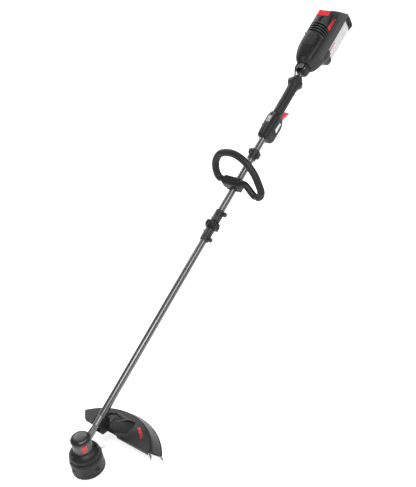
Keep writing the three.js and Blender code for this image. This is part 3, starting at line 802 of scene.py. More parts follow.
def buildWindTree():
    tree, start = newTree("Wind wire", [
        ("Part", "Geometry", None), ("Inner", "Float", 5.0), ("Outer", "Float", 5.0),
        ("Turns", "Float", 5.0), ("Rise", "Float", 20.0), ("Wire", "Float", 1.0),
        ("Smoothness", "Int", 40), ("Sides", "Int", 10), ("Finish", "Material", None)])
    coil = addNode(tree, "GeometryNodeCurveSpiral")
    for title, socket in (("Smoothness", "Resolution"), ("Turns", "Rotations"), ("Inner", "Start Radius"),
                          ("Outer", "End Radius"), ("Rise", "Height")):
        tree.links.new(start[title], coil.inputs[socket])
    section = addNode(tree, "GeometryNodeCurvePrimitiveCircle")
    feed(tree, section, Resolution=start["Sides"], Radius=start["Wire"])
    tube = addNode(tree, "GeometryNodeCurveToMesh")
    feed(tree, tube, Curve=coil.outputs[0], Profile_Curve=section.outputs[0], Fill_Caps=True)
    return endTree(tree, tube.outputs[0], start["Finish"])


repeatTree = buildRepeatTree()
windTree = buildWindTree()


def runTree(part, tree, **values):
    nodes = part.modifiers.new(tree.name, "NODES")
    nodes.node_group = tree
    named = {item.name: item.identifier for item in tree.interface.items_tree if item.in_out == "INPUT"}
    for title, value in values.items():
        nodes[named[title]] = value
    return settle(part)


def repeated(part, copies, turn=0.0, start=0.0, radius=0.0, step=(0.0, 0.0, 0.0), material="zincSteel"):
    return runTree(part, repeatTree, Copies=copies, Turn=math.radians(turn), Start=math.radians(start),
                   Radius=float(radius), Step=tuple(float(value) for value in step),
                   Finish=finishes[material])


def wound(name, inner, outer, turns, rise, wire, smoothness=40, sides=10, material="zincSteel"):
    seed = makeObject(name, [(0, 0, 0), (1, 0, 0), (0, 1, 0)], [(0, 1, 2)])
    return runTree(seed, windTree, Inner=float(inner), Outer=float(outer), Turns=float(turns),
                   Rise=float(rise), Wire=float(wire), Smoothness=smoothness, Sides=sides,
                   Finish=finishes[material])


makeCamera()
print("camera ready")


# Cutting head

head = {
    "teeth": 60, "toothDepth": 1.1,
    "clips": 4, "firstClip": -95,
    "knobLobes": 10, "knobLobe": 0.045,
    "spotAzimuth": -109, "coverScrews": (-40, 163), "screwCircle": 41.5,
    "labelFrom": -131, "labelTo": -99, "turnsOfLine": 11, "lineLayers": (43.6, 41.2, 38.8),
}


def azimuthOf(node):
    low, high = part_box(node)
    middle = (Vector(low) + Vector(high)) / 2
    return math.degrees(math.atan2(middle.y, middle.x))


def makeBumpKnob():
    at = span("bump_knob", headSpace)
    rim, top = at.x1, at.z1
    profile = rounded([(0, 1.2), (9, 1.2), (10.5, 0), (15, 0), (24, 1.8), (rim - 1.4, 5), (rim, 9.5),
                       (rim, 16), (12, 16), (8.6, 19), (8.6, top), (0, top)], 1.4)

    def gripLobes(radius, height, angle):
        if radius > 20 and height < 15.5:
            radius *= 1 - head["knobLobe"] * (0.5 + 0.5 * math.cos(head["knobLobes"] * angle)) ** 3
        return radius, height
    knob = turnedPiece("bump_knob_turned", profile, 160, "z", gripLobes)
    deliver(knob, headSpace, "bodyPlastic", "bump_knob", ["bump_knob"])


def makeRingCover():
    at = span("ring_cover", headSpace)
    outer, low, high = at.x1, at.z0, at.z1
    profile = [(33, low + 1.5), (53, low + 1.5), (55, low), (outer - 1.5, low), (outer, low + 1.5),
               (outer, low + 9), (outer - 1, low + 10.5), (outer - 1, high), (54.5, high), (54.5, 13),
               (33, 13), (33, low + 1.5)]

    def serrated(radius, height, angle):
        if radius > outer - 0.6 and height < low + 9.6:
            wave = math.sin(head["teeth"] * angle)
            radius -= head["toothDepth"] * (0.5 - 0.5 * max(-1, min(1, 2.2 * wave)))
        return radius, height
    cover = turnedRing("ring_cover_rim", profile, 0.7, 3, head["teeth"] * 6, "z", serrated)
    holes = repeated(rodPiece("hole", 3.2, low, 20, soft=0), 8, 45, 22, 43)
    cutAway(cover, holes)
    tongue = slab("clip_tongue", rounded([(-8, 22), (8, 22), (8, 41), (6, 44), (-6, 44), (-8, 41)], 1.5,
                                         closed=True), 57.2, 59.0, "x")
    cutAway(tongue, slab("window", rounded([(-4.5, 33), (4.5, 33), (4.5, 39), (-4.5, 39)], 1,
                                           closed=True), 50, 70, "x"))
    softenEdges(tongue, 0.4)
    tongues = repeated(tongue, head["clips"], 360 / head["clips"], head["firstClip"],
                       material="deepPlastic")
    deliver(cover, headSpace, "deepPlastic", "cutting_head", ["ring_cover"])
    tongues.name = "ring_cover_clips"
    deliver(tongues, headSpace, "deepPlastic", "cutting_head", ())


def makeSpoolHousing():
    at = span("spool_housing", headSpace)
    low, top = at.z0, at.z1
    wall = 52.5
    housing = turnedRing("spool_housing_turned", [
        (wall, low), (58.2, low), (58.1, 36), (57.4, 50), (57.4, 60.6), (56.4, 61.6), (56.2, 65),
        (54.4, 68.6), (51.5, top), (5.3, top), (5.3, 63.5), (wall, 63.5), (wall, low)], 1.3, 4, 120)
    lineHeight = (span("eyelet_1", headSpace).z0 + span("eyelet_1", headSpace).z1) / 2
    for number in (1, 2):
        azimuth = azimuthOf(f"eyelet_{number}")
        fuse(housing, spun(rodAt((0, 0, lineHeight), 9.5, 53, 58.4, "x", 40, 1.2), azimuth))
        cutAway(housing, spun(rodAt((0, 0, lineHeight), 4.9, 40, 64, "x", 32), azimuth))
    pocket = slab("pocket", rounded([(-10, 20), (10, 20), (10, 43), (7, 46.5), (-7, 46.5), (-10, 43)], 2,
                                    closed=True), 56.4, 64, "x")
    cutAway(housing, repeated(pocket, head["clips"], 360 / head["clips"], head["firstClip"]))
    spot = rodAt((0, 0, 52), 1.5, 56.2, 62, "x", 20)
    vents = repeated(slab("vent", rounded([(-9, 30), (9, 30), (9, 34), (-9, 34)], 1.6, closed=True),
                          55, 64, "x"), 4, 90, head["firstClip"] + 45)
    cutAway(housing, spun(spot, head["spotAzimuth"]), vents)
    softenEdges(housing, 0.35)
    deliver(housing, headSpace, "bodyPlastic", "cutting_head", ["spool_housing"])


def makeEyelets():
    for number in (1, 2):
        node = f"eyelet_{number}"
        height = (span(node, headSpace).z0 + span(node, headSpace).z1) / 2
        profile = [(1.8, 51), (4.5, 51), (4.5, 57.8), (5.8, 57.8), (5.8, 58.7), (4.4, 58.9), (2.6, 58.5),
                   (1.8, 57.4), (1.8, 51)]
        eyelet = moved(turnedRing(f"{node}_ferrule", profile, 0.35, 3, 40, "x"), (0, 0, height))
        deliver(spun(eyelet, azimuthOf(node)), headSpace, "zincSteel", "cutting_head", [node])


def makeLineTail():
    # five-lobed twisted trimmer line, cut square at the end
    low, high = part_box("line_tail")
    height = (low[2] + high[2]) / 2 / mm
    azimuth = azimuthOf("line_tail")
    start, end, sides = 46, 75.8, 30
    rings = []
    for step in range(61):
        t = step / 60
        twist = 2.4 * math.pi * t
        bow = 0.35 * math.sin(math.pi * t)
        ring = []
        for side in range(sides):
            angle = 2 * math.pi * side / sides
            radius = 1.06 + 0.13 * math.cos(5 * (angle + twist))
            ring.append((start + (end - start) * t, bow + radius * math.cos(angle),
                         height + radius * math.sin(angle)))
        rings.append(ring)
    tail = spun(skinned("line_tail_twisted", rings), azimuth)
    deliver(tail, headSpace, "lineNylon", "cutting_head", ["line_tail"])


def makeSpool():
    at = span("spool", headSpace)
    low, top, flange = at.z0, at.z1, at.x1
    spool = turnedRing("spool_turned", [
        (9, low), (flange, low), (flange, low + 2.2), (18, low + 2.2), (18, top - 2.2),
        (flange, top - 2.2), (flange, top), (9, top), (9, low)], 0.6)
    cutAway(spool, repeated(rodPiece("hole", 4, low - 1, low + 2.3), 6, 60, 0, 33),
            repeated(rodPiece("hole", 4, top - 2.3, top + 1), 6, 60, 0, 33))
    deliver(spool, headSpace, "deepPlastic", "spool", ["spool"])
    bed = span("line_winding", headSpace)
    wire = 1.2
    layers = []
    for radius in head["lineLayers"]:
        coil = wound("line_layer", radius, radius, head["turnsOfLine"], bed.z1 - bed.z0 - 2 * wire - 0.6,
                     wire, 36, 8, "lineNylon")
        layers.append(moved(coil, (0, 0, bed.z0 + wire + 0.3)))
    core = turnedPiece("line_core", rounded([(18.4, bed.z0 + 0.2), (37.5, bed.z0 + 0.2),
                                             (37.5, bed.z1 - 0.2), (18.4, bed.z1 - 0.2),
                                             (18.4, bed.z0 + 0.2)], 0.8, closed=True)
                       + [(18.4, bed.z0 + 1.0)], 64)
    winding = gather(layers[0], *layers[1:], core)
    winding.name = "line_winding_turns"
    deliver(winding, headSpace, "lineNylon", "spool", ["line_winding"])


def makeHeadSpring():
    at = span("head_spring", headSpace)
    wire = 0.8
    spring = wound("head_spring_wire", 6.2, 6.2, 5, at.z1 - at.z0 - 2 * wire, wire, 40, 10)
    moved(spring, (0, 0, at.z0 + wire))
    piece = deliver(spring, headSpace, "zincSteel", "spool", ["head_spring"])
    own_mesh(piece)


def screwPiece(name, headRadius, headHeight, shankRadius, length, drive="hex"):
    # shank from z = 0 to length, head above it with a driving recess
    top = length + headHeight
    profile = [(0, 0), (shankRadius * 0.7, 0), (shankRadius, 0.8), (shankRadius, length),
               (headRadius, length), (headRadius, top - 0.4), (headRadius - 0.8, top), (0, top)]
    body = turnedPiece(name, rounded(profile, 0.35, 2), 40)
    points = []
    corners = 6 if drive == "hex" else 24
    for index in range(corners):
        angle = 2 * math.pi * index / corners
        reach = headRadius * (0.56 if drive == "hex" else 0.5 + 0.1 * math.cos(6 * angle))
        points.append((reach * math.cos(angle), reach * math.sin(angle)))
    cutAway(body, slab("recess", points, top - headHeight * 0.65, top + 2, "z"))
    return softenEdges(body, 0.12, 1)


def makeConeCover():
    at = span("cone_cover", headSpace)
    low, top = at.z0, at.z1
    cover = turnedRing("cone_cover_turned", [
        (34.5, top), (34.5, 96.5), (44, 89), (50.6, 79), (50.6, low), (54.8, low), (55, 76.2),
        (54.2, 77), (54.2, 80), (52.2, 86), (46, 93), (38.4, 98.6), (36.8, top), (34.5, top)], 1.6, 4, 120)
    circle = (head["screwCircle"], 0, 0)
    for azimuth in head["coverScrews"]:
        fuse(cover, spun(rodAt(circle, 7.6, 87, 94.4, soft=0.8), azimuth))
    cutters = []
    for azimuth in head["coverScrews"]:
        cutters.append(spun(rodAt(circle, 5.6, 90.5, 112), azimuth))
        cutters.append(spun(rodAt(circle, 2.3, 80, 95), azimuth))
    cutters.append(rodPiece("bore", 34.4, 80, 112, steps=96))
    cutAway(cover, *cutters)
    softenEdges(cover, 0.5)
    deliver(cover, headSpace, "bodyPlastic", "lower_shaft", ["cone_cover"])
    for number, azimuth in enumerate(head["coverScrews"], 1):
        screw = screwPiece(f"cover_screw_{number}_torx", 4.4, 3.2, 2, 8.8, "star")
        screw = spun(moved(screw, (head["screwCircle"], 0, 82)), azimuth)
        deliver(screw, headSpace, "blackSteel", "lower_shaft", [f"cover_screw_{number}"])


def arcPatch(name, azimuthFrom, azimuthTo, low, high, inner, outer, corner=1.5):
    # a thin sticker round a cylinder, corners trimmed
    steps = 24
    grid = []
    for layer in (inner, outer):
        for row in range(9):
            for step in range(steps + 1):
                t = step / steps
                v = row / 8
                edge = min(t, 1 - t) * math.radians(azimuthTo - azimuthFrom) * outer
                trim = max(0.0, corner - edge)
                squeeze = corner - math.sqrt(max(0.0, corner ** 2 - trim ** 2))
                height = low + squeeze + (high - low - 2 * squeeze) * v
                angle = math.radians(azimuthFrom + (azimuthTo - azimuthFrom) * t)
                grid.append((layer * math.cos(angle), layer * math.sin(angle), height))
    width = steps + 1
    half = width * 9
    faces = []
    for row in range(8):
        for step in range(steps):
            a = row * width + step
            faces.append((a, a + 1, a + width + 1, a + width))
            faces.append((half + a, half + a + 1, half + a + width + 1, half + a + width))
    for step in range(steps):
        for a in (step, 8 * width + step):
            faces.append((a, a + 1, half + a + 1, half + a))
    for row in range(8):
        for a in (row * width, row * width + steps):
            faces.append((a, a + width, half + a + width, half + a))
    return makeObject(name, grid, faces)


def makeMotor():
    case = span("motor_case", headSpace)
    radius, low, top = case.x1, case.z0, case.z1
    shell = turnedRing("motor_case_turned", [
        (11, low), (radius - 1, low), (radius, low + 1), (radius, top - 3.2), (radius - 0.7, top - 2.6),
        (radius - 0.7, top), (31, top), (31, 97), (14, 97), (14, 104), (11, 104), (11, low)], 0.6, 3, 120)
    deliver(shell, headSpace, "caseAlloy", "lower_shaft", ["motor_case"])
    cap = span("motor_cap", headSpace)
    rim, high, base = cap.x1, cap.z1, cap.z0
    dome = [(0, high), (20, high - 0.5), (21, high - 1.1), (22.5, high - 1.1), (26.5, high - 2.2),
            (31, high - 5.6), (34, high - 9.4), (rim, high - 13), (rim, base), (32, base),
            (32, base + 2.2), (28, 149.5), (14, 152.8), (14, 145), (11, 145), (11, 153.5), (0, 153.5)]
    deliver(turnedPiece("motor_cap_turned", rounded(dome, 2.2, 5), 120), headSpace, "capAlloy",
            "lower_shaft", ["motor_cap"])
    mark = arcPatch("motor_label", head["labelFrom"], head["labelTo"], 110, 137, radius - 0.1, radius + 0.22)
    deliver(mark, headSpace, "redInk", "lower_shaft", ())
    for number, (bottom, height) in enumerate(((131, 1.6), (127, 1.1), (123.5, 1.1), (114, 5)), 1):
        strip = arcPatch(f"motor_label_bar_{number}", head["labelFrom"] + 4,
                         head["labelTo"] - (4 if number != 3 else 14), bottom, bottom + height,
                         radius, radius + 0.34, 0.4)
        deliver(strip, headSpace, "greyInk", "lower_shaft", ())


def makeStatorCoils():
    at = span("stator", headSpace)
    coil = block("coil", (23.2, 27.2), (-3.1, 3.1), (at.z0 - 1.6, at.z1 + 1.6))
    softenEdges(coil, 1.2, 3)
    coils = repeated(coil, 12, 30, 15, material="copperWire")
    coils.name = "stator_coils"
    deliver(coils, headSpace, "copperWire", "lower_shaft", ())


def makeBracket():
    bracket = fromFrame("motor_bracket", "motor_bracket_cast")
    mouldedFrom(bracket, 0.75, 4, 0.5)
    deliver(bracket, shaftSpace, "castAlloy", "lower_shaft", ["motor_bracket"], 60)


print("cutting head")
makeBumpKnob()
makeRingCover()
makeSpoolHousing()
makeEyelets()
makeLineTail()
makeSpool()
makeHeadSpring()
makeConeCover()
makeMotor()
makeStatorCoils()
makeBracket()


# Guard and its shoe

guard = {
    "centre": (-9, -33), "ridge": 214, "rim": 245, "plateTop": 100, "rimLow": 54,
    "innerEdge": 102, "edgeFrom": -206, "edgeTo": 97, "endLean": (198, -96),
    "ribs": 7, "ribFrom": -62, "ribTurn": 18,
    "webPocket": [(124, 19), (153, 20), (167, -5), (162, -40), (146, -28), (129, -8)], "reliefTop": 72,
    "markCentre": (156, -123), "markTurn": -125, "markLength": 56, "markHeight": 11,
}


def stripes(length, height, slant=0.35):
    # a plain row of leaning bars that get thinner
    lean = height * slant
    outlines = []
    start = 0.0
    for share in (0.3, 0.14, 0.09, 0.06, 0.04):
        width = length * share
        outlines.append([(start, 0), (start + width, 0),
                         (start + width + lean, height), (start + lean, height)])
        start += width + length * 0.045
    low = 0.35        # the last bar is a low one
    outlines.append([(start, 0), (length, 0), (length + lean * low, height * low),
                     (start + lean * low, height * low)])
    return outlines


def planSlab(name, grow, low, high):
    edge, near, far = guard["innerEdge"], guard["edgeFrom"], guard["edgeTo"]
    outline = [(edge - grow, near - grow), (edge + 200, near - 97 - grow), (edge + 200, far + 199 + grow),
               (edge - grow, far + grow)]
    return slab(name, outline, low, high, "z")


def makeGuard():
    shell = fromFrame("guard", "guard_moulded", headSpace)
    centreX, centreY = guard["centre"]
    top, ridge = guard["plateTop"], guard["ridge"]
    rib = slab("rib", [(118, top - 1), (ridge - 3, top - 1), (ridge + 18, 62), (ridge + 14, 62),
                       (ridge - 8, top - 12), (118, top - 8)], -1.3, 1.3)
    ribs = repeated(rib, guard["ribs"], guard["ribTurn"], guard["ribFrom"])
    moved(ribs, (centreX, centreY, 0))
    rim, foot = guard["rim"], guard["rimLow"]
    bead = turnedPiece("bead", [(rim - 4.2, foot), (rim - 0.1, foot), (rim - 0.8, foot + 5),
                                (rim - 4.6, foot + 5), (rim - 4.2, foot)], 200)
    moved(bead, (centreX, centreY, 0))
    lipDepth = (guard["innerEdge"], guard["innerEdge"] + 3)
    lip = block("lip", lipDepth, (guard["edgeFrom"] + 1, -58), (86, top))
    lipRight = block("lip", lipDepth, (54, guard["edgeTo"] - 1), (86, top))
    extras = gather(ribs, bead)
    keepWithin(extras, planSlab("plan", -0.2, 40, 120))
    for part in (lip, lipRight):
        gather(extras, part)
    gather(shell, extras)
    room = ((guard["innerEdge"] + 1, 195), (-92, 42))
    web = keepWithin(block("guard_web", *room, (top + 0.2, 140)), fromFrame("guard", "guard_copy",
                     headSpace))
    moved(web, (0, 0, -1.2))
    cutAway(web, slab("web_pocket", rounded(guard["webPocket"], 3, closed=True), 116, 130, "z"))
    softenEdges(web, 1.3, 3, 28)
    deliver(web, headSpace, "guardPlastic", "lower_shaft", (), 30)
    cutAway(shell, block("web_room", *room, (top + 0.1, 140)))
    mouldedFrom(shell, 1.35, 3, 0.55)
    leanX, leanY = guard["endLean"][0] / 220, guard["endLean"][1] / 220
    edge = Vector((guard["innerEdge"], guard["edgeFrom"]))
    across = Vector((-leanY, leanX))
    outline = [edge + Vector((leanX, leanY)) * along + across * off
               for along, off in ((70, -20), (170, -20), (170, 22), (110, 12))]
    cutAway(shell, slab("end_relief", outline, 30, guard["reliefTop"], "z"))
    deliver(shell, headSpace, "guardPlastic", "lower_shaft", ["guard"], 50)
    marks = []
    for outline in stripes(guard["markLength"], guard["markHeight"]):
        marks.append(slab("guard_mark", [(x - guard["markLength"] / 2, y - guard["markHeight"] / 2)
                                         for x, y in outline], top - 0.5, top + 0.25, "z"))
    mark = gather(marks[0], *marks[1:])
    spun(mark, guard["markTurn"])
    moved(mark, (*guard["markCentre"], 0))
    mark.name = "guard_mark"
    deliver(mark, headSpace, "redInk", "lower_shaft", ())


def makeShoe():
    shoe = fromFrame("guard_shoe", "guard_shoe_moulded")
    at = span("guard_shoe")
    ribs = repeated(block("rib", (at.x0 + 16, at.x0 + 18), (at.y0 + 0.2, at.y1 - 0.2),
                          (at.z0 + 14, at.z0 + 38)), 4, step=(9, 0, 0))
    cutAway(ribs, rodPiece("bore", 13.8, at.x0 - 5, at.x1 + 5, "x"))
    gather(shoe, ribs)
    mouldedFrom(shoe, 0.8, 3, 0.5)
    deliver(shoe, shaftSpace, "deepPlastic", "lower_shaft", ["guard_shoe"], 50)
    for number in (1, 2):
        node = f"guard_bolt_{number}"
        place = span(node)
        bolt = screwPiece(f"{node}_hex", 4.5, 3.5, 2.35, place.y1 - place.y0 - 3.6, "hex")
        bolt.data.transform(Matrix.Rotation(math.radians(90), 4, "X"))
        moved(bolt, ((place.x0 + place.x1) / 2, place.y1 - 0.05, (place.z0 + place.z1) / 2))
        deliver(bolt, shaftSpace, "blackSteel", "lower_shaft", [node])


def makeCutter():
    cutter = fromFrame("line_cutter", "line_cutter_steel", headSpace)
    softenEdges(cutter, 0.3, 1, 25)
    deliver(cutter, headSpace, "bladeSteel", "lower_shaft", ["line_cutter"])


# Tubes and split coupling

coupling = {"tubeBore": 11.4, "outer": 17.5, "ribPitch": 5.2, "ribs": 4, "ribDepth": 1.1,
            "lobes": 6, "lobeDepth": 0.82, "waist": 20.3, "earSlot": 1.7}


def makeTube(node, body):
    at = span(node)
    outer, bore = at.y1, coupling["tubeBore"]
    tube = turnedRing(f"{node}_drawn", [
        (bore, at.x0), (outer, at.x0), (outer, at.x1), (bore, at.x1), (bore, at.x0)], 0.5, 3, 96, "x")
    deliver(tube, shaftSpace, "tubeAlloy", body, [node])


def makeSleeve(node, body, ribsAtStart):
    at = span(node)
    outer, bore = coupling["outer"], shaftBore
    span0, span1 = at.x0, at.x1
    profile = [(bore, span0), (outer - 0.8, span0), (outer, span0 + 0.8)]
    first = span0 + 6 if ribsAtStart else span1 - 6 - coupling["ribs"] * coupling["ribPitch"]
    for rib in range(coupling["ribs"]):
        x = first + rib * coupling["ribPitch"]
        deep = outer - coupling["ribDepth"]
        profile += [(outer, x), (deep, x + 0.5), (deep, x + 2.2), (outer, x + 2.7)]
    profile += [(outer, span1 - 0.8), (outer - 0.8, span1), (bore, span1), (bore, span0)]
    sleeve = turnedPiece(f"{node}_sleeve", profile, 96, "x")
    bolt = span("coupler_bolt_1" if ribsAtStart else "coupler_bolt_2")
    earX, earY = (bolt.x0 + bolt.x1) / 2, (bolt.y0 + bolt.y1) / 2
    ear = slab("ear", rounded([(-10, -8), (at.y0, -8), (at.y0, 8), (-10, 8)], 3, 5, closed=True),
               earX - 7, earX + 7, "x")
    softenEdges(ear, 1.0, 3)
    fuse(sleeve, ear)
    pinX = span1 - 12 if ribsAtStart else span0 + 13
    fuse(sleeve, rodAt((pinX, 0, 3), 3.2, 12, 22, "y", 24, 0.8))
    slot = coupling["earSlot"] / 2
    cutAway(sleeve, shaftRoom(span0 - 5, span1 + 5),
            block("slot", (earX - 20, earX + 20), (-40, -12.5), (-slot, slot)),
            rodAt((earX, earY, 0), 2.7, -20, 20, "z", 24))
    softenEdges(sleeve, 0.35)
    deliver(sleeve, shaftSpace, "bodyPlastic", body, [node])


def boltUpwards(node, name, headRadius, headHeight, shankRadius, space=shaftSpace):
    # a bolt along z in the shaft's own space, filling its CAD node
    at = span(node, space)
    bolt = screwPiece(name, headRadius, headHeight, shankRadius, at.z1 - at.z0 - headHeight)
    return moved(bolt, ((at.x0 + at.x1) / 2, (at.y0 + at.y1) / 2, at.z0))


def makeNut():
    at = span("coupler_nut")
    bore, tip = shaftBore, 31
    low, high = at.x0, at.x1
    half = [(19, 0), (20, 1), (20, 3.4), (24, 3.9), (29, 5.6), (tip, 9)]
    profile = [(bore, low)] + [(radius, low + x) for radius, x in half]
    profile += [(radius, high - x) for radius, x in reversed(half)] + [(bore, high), (bore, low)]
    core = coupling["waist"]

    def lobed(radius, height, angle):
        if radius > core:
            waist = 0.5 - 0.5 * math.cos(coupling["lobes"] * angle)
            radius = core + (radius - core) * (1 - coupling["lobeDepth"] * waist)
        return radius, height
    nut = turnedRing("coupler_nut_lobed", profile, 1.2, 3, 144, "x", lobed)
    deliver(nut, shaftSpace, "deepPlastic", "coupler_nut", ["coupler_nut"])


# Front loop handle

loop = {
    "at": 1098, "lean": 36, "barRise": 27, "barRadius": 13, "gripRadius": 14.1, "saddleFront": 21,
    "path": [(-56.5, 0), (-65, 4), (-75, 17), (-81, 42), (-76, 74), (-50, 103), (4, 111), (58, 90),
             (98, 50), (122, 4), (128, -16), (124, -31), (117, -38), (111, -39)],
    "strut": [(40, 0), (54, -1), (66, -9), (78, -21), (90, -32), (97, -37), (103.5, -38.8)],
}


def loopPoint(left, up):
    lean = math.radians(loop["lean"])
    return (loop["at"] + up * math.sin(lean), -left, loop["barRise"] + up * math.cos(lean))


def makeLoopGrip():
    path = through([loopPoint(*point) for point in loop["path"]], 14)

    def swell(t):
        # cuffs at both ends and faint finger rings on the long arm
        cuff = max(0.0, 1 - min(t, 1 - t) / 0.012)
        rings = 0.22 * max(0.0, math.sin(t * 2 * math.pi * 42)) if 0.52 < t < 0.8 else 0.0
        return loop["gripRadius"] - 0.8 * cuff ** 2 - rings
    grip = tubeAlong("loop_grip_sleeve", path, swell, 40, Vector((1, 0, 0)))
    deliver(grip, shaftSpace, "gripRubber", "front_handle", ["loop_grip"], 60)


def makeHandleFrame():
    at, radius = loop["at"], loop["barRadius"]
    clamp = span("handle_clamp")
    frameBar = rodPiece("handle_frame_bar", radius, -42, 50.5, "y", 64, 1.2)
    moved(frameBar, (at, 0, loop["barRise"]))
    strut = tubeAlong("strut", through([loopPoint(*point) for point in loop["strut"]], 8), radius, 40,
                      Vector((1, 0, 0)))
    front = at - loop["saddleFront"]
    saddle = slab("saddle", rounded([(front, 2), (at + 17, 2), (at + 17, 35), (at + 12, 40.4),
                                     (front + 6, 40.4), (front, 34)], 4, 5, closed=True), -33, 39)
    fuse(frameBar, strut, saddle)
    holes = []
    for bolt in ("handle_bolt_1", "handle_bolt_2"):
        place = span(bolt)
        across = (place.y0 + place.y1) / 2
        holes.append(rodAt((at, across, 0), 3, -30, 60, "z", 24))
        holes.append(rodAt((at, across, 0), 6, 35, 60, "z", 32))
    cutAway(frameBar, shaftRoom(at - 98, at + 102), *holes)
    mouldedFrom(frameBar, 0.85, 4, 0.5)
    deliver(frameBar, shaftSpace, "bodyPlastic", "front_handle", ["handle_frame"], 50)

    lower = slab("handle_clamp_saddle", rounded([(front, clamp.z1), (at + 17, clamp.z1), (at + 17, -9),
                                                 (at + 12, -12), (front + 5, -12), (front, -9)], 1.5,
                                                closed=True), -30, 30)
    fuse(lower, rodPiece("belly", 18.5, at - 17, at + 17, "x", 72, 1.2))
    cutters = [block("top", (at - 30, at + 30), (-40, 40), (clamp.z1, 40)), shaftRoom(at - 98, at + 102)]
    for across in (-22, 22):
        cutters.append(rodAt((at, across, 0), 3, -30, 60, "z", 24))
    cutAway(lower, *cutters)
    softenEdges(lower, 0.7, 3)
    deliver(lower, shaftSpace, "deepPlastic", "front_handle", ["handle_clamp"])
    for number in (1, 2):
        node = f"handle_bolt_{number}"
        bolt = boltUpwards(node, f"{node}_hex", 5.4, 3.6, 2.6)
        deliver(bolt, shaftSpace, "blackSteel", "front_handle", [node])


# Hanger clamp

hanger = {"eyeAt": 1241, "eyeRise": 26, "eyeOuter": 12.5, "eyeHole": 7, "outer": 17.5, "ribs": 3,
          "ribPitch": 4.6}


def makeHanger():
    at = span("hanger_clamp")
    eyeX, eyeRise, outer = hanger["eyeAt"], hanger["eyeRise"], hanger["outer"]
    profile = [(shaftBore, at.x0), (16.4, at.x0), (outer, at.x0 + 1.2)]
    for rib in range(hanger["ribs"]):
        x = at.x0 + 7 + rib * hanger["ribPitch"]
        profile += [(outer, x), (16.6, x + 0.5), (16.6, x + 1.8), (outer, x + 2.3)]
    profile += [(outer, at.x1 - 1.2), (16.4, at.x1), (shaftBore, at.x1), (shaftBore, at.x0)]
    clamp = turnedPiece("hanger_clamp_ring", profile, 96, "x")
    eye = rodAt((eyeX, 0, eyeRise), hanger["eyeOuter"], -4, 4, "y", 64, 1.5)
    ear = slab("ear", rounded([(-8, -8), (at.y0, -8), (at.y0, 8), (-8, 8)], 3, 5, closed=True),
               eyeX - 12, eyeX + 12, "x")
    softenEdges(ear, 1.2, 3)
    fuse(clamp, eye, ear)
    cutAway(clamp, shaftRoom(1200, 1300), rodAt((eyeX, 0, eyeRise), hanger["eyeHole"], -20, 20, "y", 48),
            block("slot", (1200, 1300), (-40, -12.5), (-0.9, 0.9)),
            rodAt((eyeX, -21.5, 0), 2.8, -20, 20, "z", 24))
    softenEdges(clamp, 0.5, 3)
    deliver(clamp, shaftSpace, "bodyPlastic", "hanger", ["hanger_clamp"])
    screw = boltUpwards("hanger_screw", "hanger_screw_hex", 4.8, 3.2, 2.4)
    deliver(screw, shaftSpace, "blackSteel", "hanger", ["hanger_screw"])


print("guard, tubes, coupling, handle")
makeGuard()
makeShoe()
makeCutter()
makeTube("lower_tube", "lower_shaft")
makeTube("upper_tube", "main")
makeSleeve("coupler_lower", "lower_shaft", True)
makeSleeve("coupler_upper", "main", False)
for number, body in ((1, "lower_shaft"), (2, "main")):
    couplerBolt = boltUpwards(f"coupler_bolt_{number}", f"coupler_bolt_{number}_hex", 4.8, 3.4, 2.4)
    deliver(couplerBolt, shaftSpace, "blackSteel", body, [f"coupler_bolt_{number}"])
makeNut()
makeLoopGrip()
makeHandleFrame()
makeHanger()


# Switch housing

switchBox = {
    "stations": [(1321, 19, 18, -27), (1327, 24, 23, -38), (1345, 26.5, 25, -45), (1400, 27.5, 27, -45),
                 (1420, 26, 26, -38), (1436, 21.5, 22.5, -26)],
    "wall": 3.0, "screws": [(1338, -27), (1378, -32), (1374, 17), (1426, 13)],
    "mark": (1366, -19, 44, 14), "grooves": 5, "groovePitch": 3.4,
    "button": (1404, 0, -4), "buttonHole": 7.3,
}


def loft(name, stations, grow=0.0, power=4.0, count=96, steps=6):
    rows = through(stations, steps)
    rings = [softBoxRing(x, w + grow, top + grow, bottom - grow, count, power) for x, w, top, bottom in rows]
    if grow < 0:
        rings = [[(min(max(x, rows[0][0] - grow), rows[-1][0] + grow), y, z) for x, y, z in ring]
                 for ring in rings]
    return skinned(name, rings)


def printedOn(name, outlines, low, high, skin, core, axis="y"):
    # thin outlines laid on a curved face: inside the grown skin, outside the core
    parts = [slab(name, outline, low, high, axis) for outline in outlines]
    return cutAway(keepWithin(gather(parts[0], *parts[1:]), skin), core)


def screwSet(name, places, side, face, radius=3.1):
    # recessed cross screws on a side face; places are (x, z)
    screws = []
    for x, z in places:
        screw = screwPiece(name, radius, 1.8, 1.4, 4, "cross")
        screw.data.transform(Matrix.Rotation(math.radians(-90 * side), 4, "X"))
        screws.append(moved(screw, (x, face, z)))
    screws = gather(screws[0], *screws[1:])
    screws.name = name
    return screws


